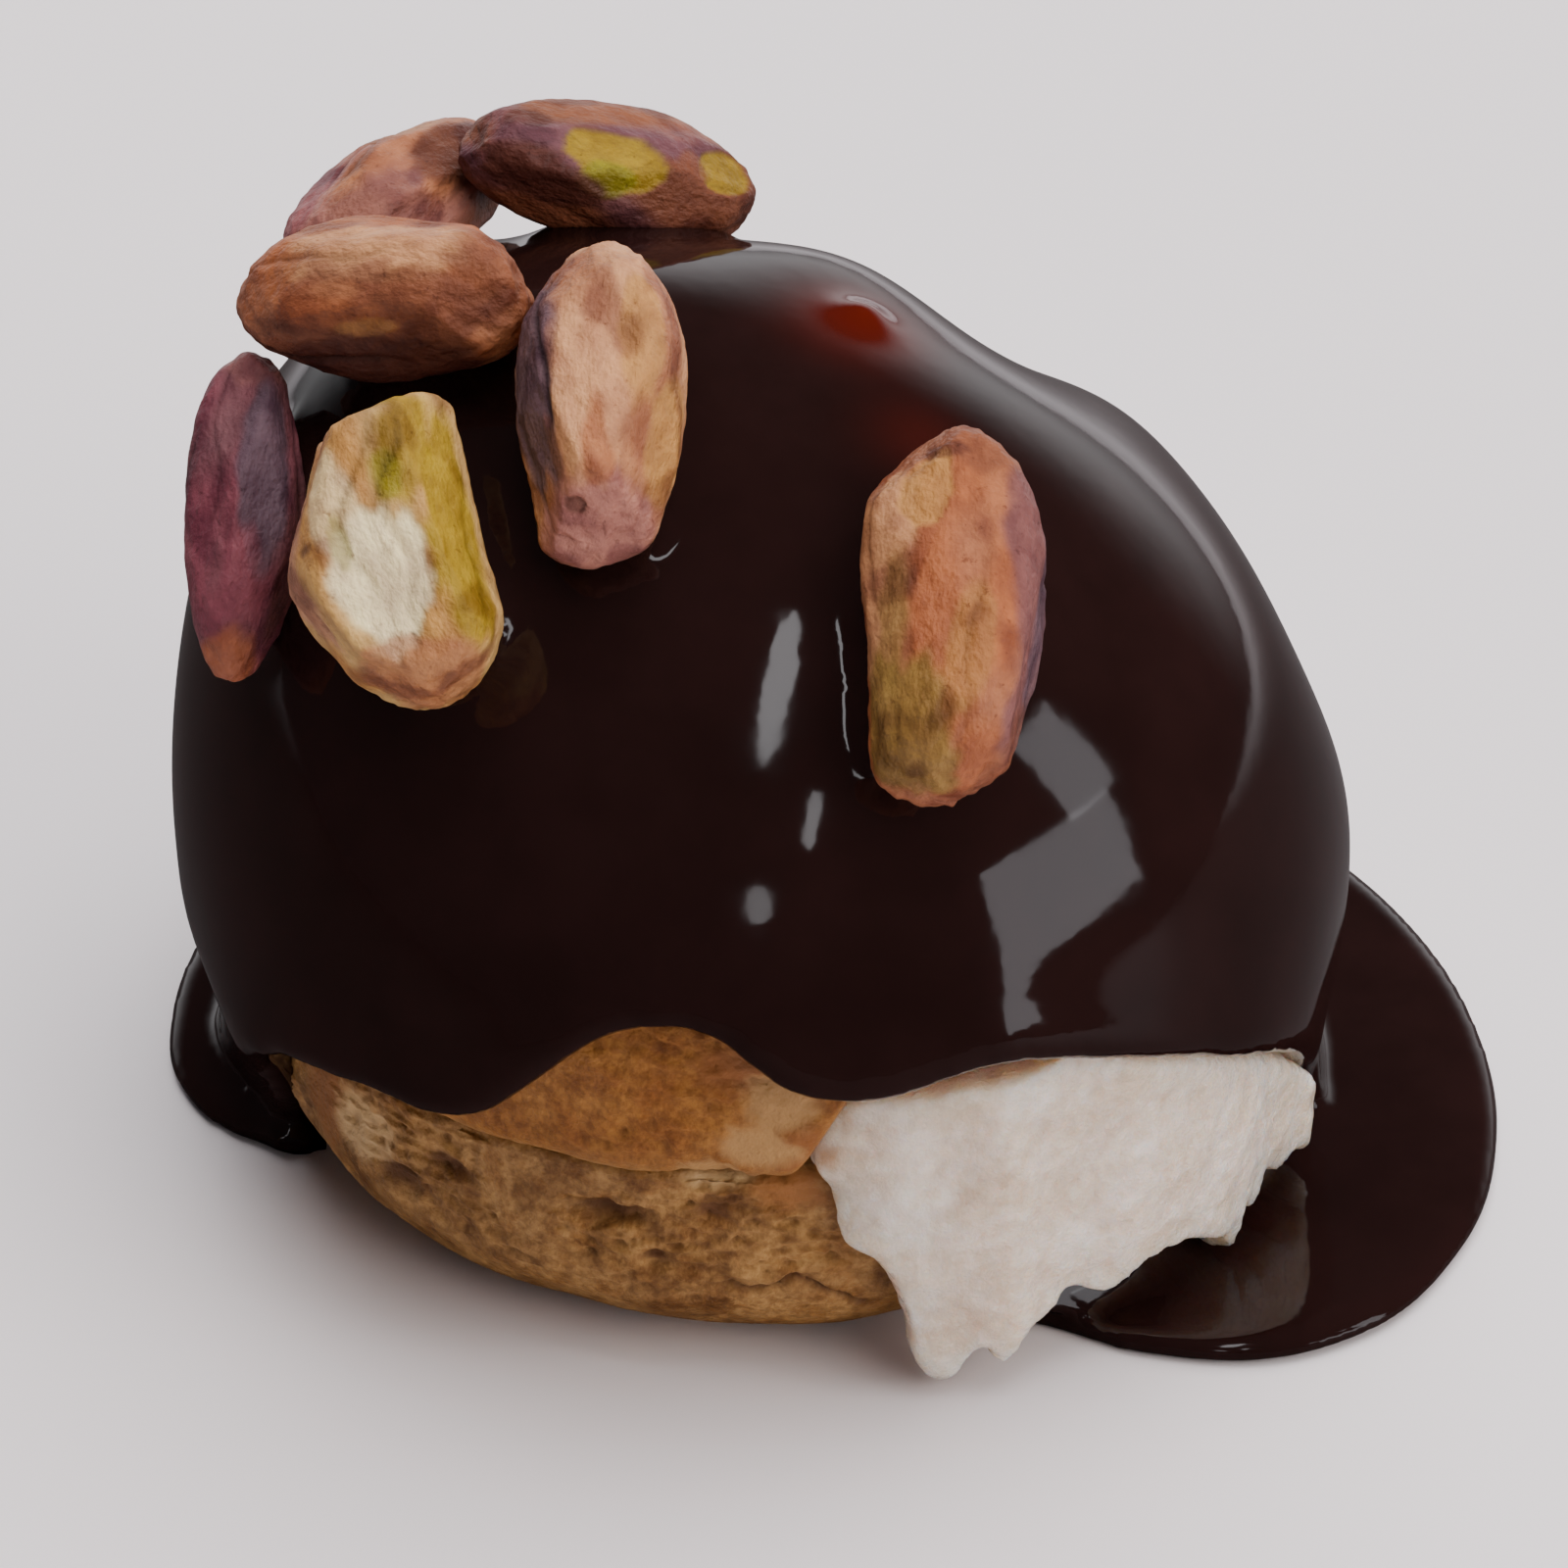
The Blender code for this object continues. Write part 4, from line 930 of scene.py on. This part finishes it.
def tearCrust(piece, seed):
    # lumps, wrinkles that run round the bun, pores, torn pits and cracks, with painted shade in the hollows
    points, out = pointsOf(piece), normalsOf(piece)
    azimuth, radial, height = azimuthOf(points), radialOf(points), points[:, 2]
    side = ease((radial - bun["flatSpot"]) / bun["sideFade"]) * (out[:, 2] < 0.85)
    lumps = noiseAt(points, bun["lumpGrain"], seed)
    wrinkles = np.abs(noiseAt(points, bun["wrinkleGrain"], seed + 1, (2.2, 2.2, 0.8)))
    rough = ease((noiseAt(points, bun["roughGrain"], seed + 2) + 0.35) / 0.5)
    rough = ease((height - bun["roughFrom"]) / bun["roughFade"]) * rough
    flakes = ease(np.abs(noiseAt(points, bun["flakeGrain"], seed + 7, (1.6, 1.6, 0.8))) * 2.4)
    sink = -bun["lumpDepth"] * lumps + bun["wrinkleDepth"] * wrinkles * (0.25 + 0.75 * rough)
    sink += bun["flakeDepth"] * flakes * (0.15 + 0.85 * rough)
    # painted shade: darkest in the pits and cracks, lighter in the pores
    dark = np.zeros(len(points))
    coarse, fine = bun["tornGrains"]
    ragged = 0.35 * noiseAt(points, coarse, seed + 4) + 0.25 * noiseAt(points, fine, seed + 5)
    for pitAzimuth, pitHeight, width, tall, depth in bun["pits"]:
        sideways = alongCrust(azimuth, pitAzimuth)
        away = ((sideways / width) ** 2 + ((height - pitHeight) / tall) ** 2) * (1 + 1.8 * ragged).clip(0.4)
        inside = np.exp(-away ** 1.5)
        sink += depth * inside
        dark = np.maximum(dark, inside)
    run, crackWidth, crackDepth = bun["cracks"]
    along = np.clip(azimuth, run[0][0], run[-1][0])
    line = np.interp(along, [p[0] for p in run], [p[1] for p in run])
    line += 0.0003 * noiseAt(points, bun["crackGrain"], seed + 3)
    offRun = np.radians(np.abs(azimuth - along)) * bun["radius"]
    inside = np.exp(-((offRun / 0.0004) ** 2 + ((height - line) / crackWidth) ** 2))
    sink += crackDepth * inside
    dark = np.maximum(dark, inside)
    chance = np.random.default_rng(seed)
    for _ in range(bun["pores"]):
        spot = around(chance.uniform(*bun["poreSides"]), bun["radius"], chance.uniform(*bun["poreHeights"]))
        size = chance.uniform(*bun["poreSizes"])
        sideways = alongCrust(azimuth, np.degrees(np.arctan2(spot[1], spot[0])))
        distance = np.hypot(sideways, height - spot[2])
        inside = np.exp(-((distance / size) ** 2))
        sink += bun["poreDepth"] * inside * rough
        dark = np.maximum(dark, 0.55 * inside * rough)
    # patches with ragged borders, where the crust is open or more toasted, or darkened as painted shade
    patches = []
    for kind in ("crumbs", "toastsAndShade"):
        cover = np.zeros(len(points))
        for spotAzimuth, spotHeight, width, tall in bun[kind]:
            sideways = alongCrust(azimuth, spotAzimuth)
            distance = np.hypot(sideways / width, (height - spotHeight) / tall)
            soft = 0.55 if kind == "crumbs" else 0.9
            cover = np.maximum(cover, ease((1 - distance + ragged) / soft + 0.5))
        patches.append(cover)
    crumb, toastAndShade = patches
    least, more = bun["crumbDepths"]
    sink += crumb * (least + more * np.abs(noiseAt(points, bun["crumbGrain"], seed + 6)))
    if piece.name == "bunLid":
        lip = lidUnderside(azimuth, radial)
        crumb = np.maximum(crumb, 0.6 * ease(1 - (height - lip) / 0.0011))
    setPoints(piece, points - out * (sink * side)[:, None])
    paintNumbers(piece, "crumb", crumb * side)
    paintNumbers(piece, "toastAndShade", toastAndShade * side)
    paintNumbers(piece, "hollowShade", np.clip(dark, 0, 1) * side)
    paintNumbers(piece, "rough", rough * side)


def makeCrust(name, tones):
    material, tree, shader = newMaterial(
        name, Roughness=0.62, Subsurface_Weight=0.06, Subsurface_Scale=0.0006,
        Subsurface_Radius=(1.0, 0.55, 0.3), Specular_IOR_Level=0.35)
    links = tree.links
    place = addNode(tree, 'ShaderNodeTexCoord', (-1400, 0))
    hollowShade = readAttribute(tree, "hollowShade", (-1200, 500))
    rough = readAttribute(tree, "rough", (-1200, 350))
    baked = placeGroup(
        tree, mottleGroup, (-1100, 150), place.outputs["Object"],
        Grain=420.0, Light=tones["light"], Dark=tones["mid"], Balance=0.52, Softness=0.14)
    browned = placeGroup(
        tree, mottleGroup, (-1100, -100), place.outputs["Object"],
        Grain=700.0, Light=(1, 1, 1, 1), Dark=tones["stain"], Balance=0.56, Softness=0.07)
    stained = mixColours(tree, 0.8, baked.outputs["Color"], browned.outputs["Color"], (-800, 100), 'MULTIPLY')
    specks = placeGroup(
        tree, mottleGroup, (-1100, -350), place.outputs["Object"],
        Grain=2300.0, Light=(1.28, 1.30, 1.34, 1), Dark=(0.74, 0.66, 0.58, 1), Balance=0.5, Softness=0.16)
    speckled = mixColours(tree, 0.85, stained, specks.outputs["Color"], (-550, 100), 'MULTIPLY')
    crumb = readAttribute(tree, "crumb", (-1200, 800))
    toastAndShade = readAttribute(tree, "toastAndShade", (-1200, 650))
    # toasted patches, and painted shade at the base's left end
    toasted = mixColours(tree, toastAndShade.outputs["Fac"], speckled, tones["toastAndShade"], (-400, 300))
    opened = mixColours(tree, crumb.outputs["Fac"], toasted, tones["crumb"], (-200, 300))
    # painted shade in the pits, cracks and pores
    deep = mixColours(tree, hollowShade.outputs["Fac"], opened, tones["deep"], (0, 200))
    links.new(deep, shader.inputs["Base Color"])
    addGrain(tree, shader, (-300, -250), place.outputs["Object"], Grain=1300.0, Fine_share=0.4, Depth=0.00022)
    links.new(remap(tree, rough.outputs["Fac"], 0, 1, (100, -350), 0.48, 0.72), shader.inputs["Roughness"])
    return material


bottomBun = makeBottomBun()
lid = makeLid()
print("bun shaped")


# cream filling

cream = {
    "leftRadius": 0.0130, "rightRadius": 0.0193, "sides": (-87, -5), "fade": 6,
    # radius of the curtain that hangs out: azimuth and radius
    "curtain": ((-92, 0.0212), (-84, 0.0216), (-77, 0.0226), (-70, 0.0231), (5, 0.0231)),
    "curtainElsewhere": 0.0212,
    "sag": 0.0004, "tuck": 0.0012, "columns": 460, "frontRows": 56, "backRows": 14,
    # ragged lower edge: azimuth and height
    "edge": (
        (-92, 0.0088), (-86, 0.0080), (-81, 0.0077), (-78.5, 0.0071), (-77.0, 0.0063), (-76.0, 0.0052),
        (-75.5, 0.0043), (-74.8, 0.0026), (-73.5, 0.0013), (-71.7, 0.0006), (-69.9, 0.0012), (-68.7, 0.0021),
        (-67.7, 0.0025), (-66.8, 0.0018), (-65.8, 0.0012), (-65.0, 0.0015), (-64.2, 0.0025), (-63.1, 0.0030),
        (-61.2, 0.0034), (-59.3, 0.0041), (-57.0, 0.0038), (-54.1, 0.0033), (-52.6, 0.0035), (-51.0, 0.0041),
        (-48.5, 0.0043), (-45.9, 0.0042), (-42.8, 0.0038), (-39.8, 0.0031), (-37.9, 0.0026), (-37.1, 0.0018),
        (-36.2, 0.0014), (-35.5, 0.0016), (-35.0, 0.0028), (-32.9, 0.0026), (-30.6, 0.0028), (-29.2, 0.0034),
        (-26.5, 0.0027), (-23.8, 0.0033), (-21, 0.0026), (-17.6, 0.0032), (-12.0, 0.0029), (-6, 0.0032),
        (0, 0.0034),
    ),
    "edgeElsewhere": 0.0033, "overGlaze": 0.0004, "backInset": 0.0012, "topInset": 0.0008, "underDome": 0.0003,
    # folds: azimuth, width in degrees, depth
    "folds": ((-66, 3.0, 0.0003), (-57, 3.5, -0.00035), (-30, 4.0, -0.0003), (-22, 2.0, 0.0003)),
    "voxel": 0.00021, "passes": 5, "frontFrom": 0.0195, "frontFade": 0.002,
    "lumpGrain": 0.0024, "lumpDepth": 0.00026, "curdGrain": 0.0007, "curdDepth": 0.00011,
    # where it thins out over the crust at the left it takes the crust's colour
    "soakedTo": -79, "soakFade": 9, "soakGrains": (0.0014, 0.0005),
}


def makeCream():
    # from the middle over the bun, down behind the curtain, round its lower edge, up its
    # front and back to the middle under the lid
    fine = np.linspace(-100, 2, cream["columns"])
    azimuth = np.concatenate([fine, np.linspace(2, 260, 130)[1:]])
    start, end = cream["sides"]
    hang = np.minimum(ease((azimuth - start) / cream["fade"]), ease((end - azimuth) / cream["fade"]))
    hang = np.where((azimuth > start) & (azimuth < end), hang, 0)
    out, down = ease(hang * 2), ease(hang * 2 - 1)
    spread = ease(1.35 - angleBetween(azimuth, -35) / 95)
    disc = cream["leftRadius"] + (cream["rightRadius"] - cream["leftRadius"]) * spread
    across = np.cos(np.radians(azimuth))
    gap = bun["gap"]
    floor, roof = bunCut(disc * across) + gap, lidCut(disc * across) - gap
    low = floor + (alongOutline(cream["edge"], azimuth, cream["edgeElsewhere"]) - floor) * down
    cover = alongOutline(coat["edge"], azimuth, coat["footJoinZ"]) + cream["overGlaze"]
    top = roof + (np.minimum(roof, cover) - roof) * out
    curtain = alongOutline(cream["curtain"], azimuth, cream["curtainElsewhere"])
    fold = np.zeros(azimuth.shape)
    for foldAzimuth, width, depth in cream["folds"]:
        fold += depth * np.exp(-(((azimuth - foldAzimuth) / width) ** 2))

    def frontRadius(height):
        belly = cream["sag"] * np.sin(pi * ease(height / bun["lidCutZ"]))
        tip = cream["sag"] * ease(1 - height / cream["edgeElsewhere"])
        return curtain + fold + belly - tip

    rows = [around(azimuth, 0.0, bunCut(0.0) + gap)]
    rows += [around(azimuth, disc * share, bunCut(disc * share * across) + gap) for share in (0.4, 0.8)]
    side = bunRadius(azimuth, np.full(azimuth.shape, bun["widestZ"])) + gap * 3
    for k in range(cream["backRows"]):
        step = k / (cream["backRows"] - 1)
        radius = disc - cream["backInset"] + (side - disc + cream["backInset"]) * out
        rows.append(around(azimuth, radius, floor + (low + cream["sag"] * 1.6 * down - floor) * step))
    tip = frontRadius(low)
    inner = radialOf(rows[-1])
    rows.append(around(azimuth, inner + (disc + (tip - disc) * out - inner) * 0.3, low + cream["sag"] * 0.3))
    rows.append(around(azimuth, inner + (disc + (tip - disc) * out - inner) * 0.6, low))
    hidden = dome["radius"] - dome["wall"] - cream["underDome"]
    for k in range(cream["frontRows"]):
        height = low + cream["sag"] * 0.8 + (top - low - cream["sag"] * 0.8) * k / (cream["frontRows"] - 1)
        radius = frontRadius(height)
        tucked = ease(1 - (cover - height) / cream["tuck"])
        radius = radius + (np.minimum(radius, hidden) - radius) * tucked
        rows.append(around(azimuth, disc + (radius - disc) * out, height))
    inset = disc - cream["topInset"]
    rows.append(around(azimuth, inset, lidCut(inset * across) - gap))
    rows.append(around(azimuth, disc * 0.5, lidCut(disc * 0.5 * across) - gap))
    rows.append(around(azimuth, 0.0, lidCut(0.0) - gap))
    piece = wrappedSheet("creamFilling", np.array(rows))
    remesh(piece, cream["voxel"], cream["passes"])
    points, normals = pointsOf(piece), normalsOf(piece)
    front = ease((radialOf(points) - cream["frontFrom"]) / cream["frontFade"])
    lumps = noiseAt(points, cream["lumpGrain"], 31)
    curds = noiseAt(points, cream["curdGrain"], 32)
    rise = (cream["lumpDepth"] * lumps + cream["curdDepth"] * curds) * front
    setPoints(piece, points + normals * rise[:, None])
    broad, small = cream["soakGrains"]
    soaked = (cream["soakedTo"] - azimuthOf(points)) / cream["soakFade"]
    soaked = ease(soaked + 0.40 * noiseAt(points, broad, 33) + 0.25 * noiseAt(points, small, 34))
    paintNumbers(piece, "overCrust", soaked * front)
    return piece


def makeCreamMaterial():
    material, tree, shader = newMaterial(
        "pastry cream", Roughness=0.3, Subsurface_Weight=1.0, Subsurface_Scale=0.0026,
        Subsurface_Radius=(1.0, 0.72, 0.5), Specular_IOR_Level=0.5, Coat_Weight=0.5, Coat_Roughness=0.12)
    links = tree.links
    place = addNode(tree, 'ShaderNodeTexCoord', (-1300, 0))
    soaked = readAttribute(tree, "overCrust", (-1100, 350))
    body = placeGroup(
        tree, mottleGroup, (-1000, 100), place.outputs["Object"],
        Grain=330.0, Light=(0.90, 0.80, 0.725, 1), Dark=(0.74, 0.60, 0.47, 1), Balance=0.46, Softness=0.22)
    curds = placeGroup(
        tree, mottleGroup, (-1000, -150), place.outputs["Object"],
        Grain=1500.0, Light=(1.06, 1.06, 1.08, 1), Dark=(0.90, 0.88, 0.86, 1), Balance=0.5, Softness=0.12)
    speckled = mixColours(tree, 0.8, body.outputs["Color"], curds.outputs["Color"], (-700, 50), 'MULTIPLY')
    blended = mixColours(tree, soaked.outputs["Fac"], speckled, (0.38, 0.19, 0.065, 1), (-400, 150))
    links.new(blended, shader.inputs["Base Color"])
    addGrain(tree, shader, (-300, -250), place.outputs["Object"], Grain=1600.0, Fine_share=0.35, Depth=0.00045)
    links.new(remap(tree, curds.outputs["Mask"], 0, 1, (100, -350), 0.22, 0.36), shader.inputs["Roughness"])
    return material


creamPiece = makeCream()
print("cream shaped")

finishPiece(coatPiece, makeChocolate(), "chocolate_coat")
# each crust's deep tone is painted shade in its pits, cracks and pores
crustTones = {
    "base": {
        # the base's toast tone also paints shade at its left end
        "light": (0.37, 0.200, 0.064, 1), "mid": (0.200, 0.094, 0.027, 1), "stain": (0.76, 0.64, 0.50, 1),
        "deep": (0.125, 0.050, 0.017, 1), "toastAndShade": (0.29, 0.115, 0.030, 1), "crumb": (0.56, 0.36, 0.16, 1),
    },
    "lid": {
        "light": (0.31, 0.128, 0.023, 1), "mid": (0.22, 0.076, 0.012, 1), "stain": (0.86, 0.76, 0.66, 1),
        "deep": (0.12, 0.040, 0.014, 1), "toastAndShade": (0.27, 0.095, 0.022, 1), "crumb": (0.42, 0.225, 0.078, 1),
    },
}
finishPiece(bottomBun, makeCrust("baked crust", crustTones["base"]), "base_crust")
finishPiece(lid, makeCrust("golden crust", crustTones["lid"]), "lid_crust")
finishPiece(creamPiece, makeCreamMaterial(), "cream_filling")
for number, kernel in enumerate(kernels, start=1):
    finishPiece(kernel, kernelMaterial, f"pistachio_{number}")


# floor, lights and camera

stage = {
    "floorSize": 3.4, "floorColour": (0.93, 0.865, 0.885), "mirroredLeft": (0.040, 0.034, 0.034),
    "mirroredRight": (0.075, 0.067, 0.069), "mirroredBehind": (0.78, 0.75, 0.78),
    # where the mirrored tones pass into each other, across and towards the back
    "leftToRight": (-0.05, 0.03), "toBehind": (0.06, 0.30),
    "roomBright": (1.20, 1.20, 1.23), "roomDark": (0.045, 0.042, 0.046),
    # the room's ramps: up its back wall, at its floor line, and towards the back
    "roomRise": (0.16, 0.54), "roomLevel": (-0.06, 0.12), "roomBack": (0.45, 0.95),
    # azimuth and elevation as seen from the puff, distance, width, height, turn, watts, colour, shows in gloss
    "lights": {
        "soft top": (65, 70, 1.2, 1.6, 1.6, 0, 33, (1.0, 0.985, 0.995), False),
        "soft front": (-42, 34, 1.2, 1.0, 0.8, 0, 8.6, (1.0, 0.93, 0.86), False),
        "window low": (-30, 14, 1.0, 0.55, 0.30, 0, 1.5, (0.95, 0.95, 1.0), True),
        "window high": (-17, 31, 1.0, 0.22, 0.34, 0, 0.7, (0.95, 0.95, 1.0), True),
        "strip long": (-81, 67, 1.0, 0.080, 0.56, -21, 0.65, (0.97, 0.97, 1.0), True),
        "strip short": (-79, 42, 1.0, 0.05, 0.19, -15, 0.11, (0.97, 0.97, 1.0), True),
        "strip low": (-92, 25, 1.0, 0.08, 0.13, 0, 0.09, (0.97, 0.97, 1.0), True),
    },
}


def makeStage():
    bpy.ops.object.select_all(action='DESELECT')
    bpy.ops.mesh.primitive_plane_add(size=stage["floorSize"], location=(0, 0, 0))
    floor = bpy.context.object
    floor.name = "paleFloor"
    material, tree, shader = newMaterial("pale table", Roughness=0.5, Specular_IOR_Level=0.3)
    # where the glaze mirrors the table it shows darker, most at the left, and paler behind
    ray = addNode(tree, 'ShaderNodeLightPath', (-300, 200))
    spot = addNode(tree, 'ShaderNodeTexCoord', (-1300, 0))
    across = addNode(tree, 'ShaderNodeSeparateXYZ', (-1100, 0))
    tree.links.new(spot.outputs["Object"], across.inputs["Vector"])
    toRight = remap(tree, across.outputs["X"], *stage["leftToRight"], (-900, 0))
    toBack = remap(tree, across.outputs["Y"], *stage["toBehind"], (-900, -200))
    sides = mixColours(tree, toRight, (*stage["mirroredLeft"], 1), (*stage["mirroredRight"], 1), (-600, 0))
    mirrored = mixColours(tree, toBack, sides, (*stage["mirroredBehind"], 1), (-300, 0))
    floorColour = mixColours(tree, ray.outputs["Is Glossy Ray"], (*stage["floorColour"], 1), mirrored, (0, 0))
    tree.links.new(floorColour, shader.inputs["Base Color"])
    floor.data.materials.append(material)
    world = bpy.data.worlds.new("soft room")
    bpy.context.scene.world = world
    world.use_nodes = True
    tree = world.node_tree
    place = addNode(tree, 'ShaderNodeTexCoord', (-900, 0))
    parts = addNode(tree, 'ShaderNodeSeparateXYZ', (-700, 0))
    tree.links.new(place.outputs["Generated"], parts.inputs["Vector"])
    high = remap(tree, parts.outputs["Z"], *stage["roomRise"], (-500, 0))
    level = remap(tree, parts.outputs["Z"], *stage["roomLevel"], (-500, 250), 0.35, 1.0)
    behind = remap(tree, parts.outputs["Y"], *stage["roomBack"], (-500, -250))
    back = mixColours(tree, high, (*stage["roomBright"], 1), (*stage["roomDark"], 1), (-250, 0))
    share = addNode(tree, 'ShaderNodeMath', (-250, -250), operation='MULTIPLY')
    tree.links.new(behind, share.inputs[0])
    tree.links.new(level, share.inputs[1])
    colour = mixColours(tree, share.outputs[0], (*stage["roomDark"], 1), back, (0, 0))
    tree.links.new(colour, tree.nodes["Background"].inputs["Color"])
    for name, lamp in stage["lights"].items():
        azimuth, elevation, distance, width, height, turn, power, tint, glossy = lamp
        turned, raised = radians(azimuth), radians(elevation)
        at = Vector((cos(raised) * cos(turned), cos(raised) * sin(turned), sin(raised))) * distance
        bpy.ops.object.light_add(type='AREA', location=at + Vector((0, 0, 0.02)))
        light = bpy.context.object
        light.name = name
        light.rotation_euler = (at.to_track_quat('Z', 'Y') @ Quaternion((0, 0, 1), radians(turn))).to_euler()
        light.data.shape = 'ELLIPSE' if name.startswith("strip") else 'RECTANGLE'
        light.data.size = width
        light.data.size_y = height
        light.data.energy = power
        light.data.color = tint
        light.visible_glossy = glossy


# where it looks, how far from, how high, and the lens in pixels of the photo
view = {
    "aim": (0.0007, 0, 0.0151), "distance": 0.392, "elevation": 35,
    "sensor": 36, "framePixels": 660, "focalPixels": 4000, "clipStart": 0.01,
}


def makeCamera():
    tilt = radians(view["elevation"])
    at = Vector(view["aim"]) + view["distance"] * Vector((0, -cos(tilt), sin(tilt)))
    bpy.ops.object.camera_add(location=at)
    camera = bpy.context.object
    camera.rotation_euler = (at - Vector(view["aim"])).to_track_quat('Z', 'Y').to_euler()
    camera.data.sensor_width = view["sensor"]
    camera.data.lens = view["sensor"] * view["focalPixels"] / view["framePixels"]
    camera.data.clip_start = view["clipStart"]
    bpy.context.scene.camera = camera


makeStage()
makeCamera()
print("stage, lights and camera set")
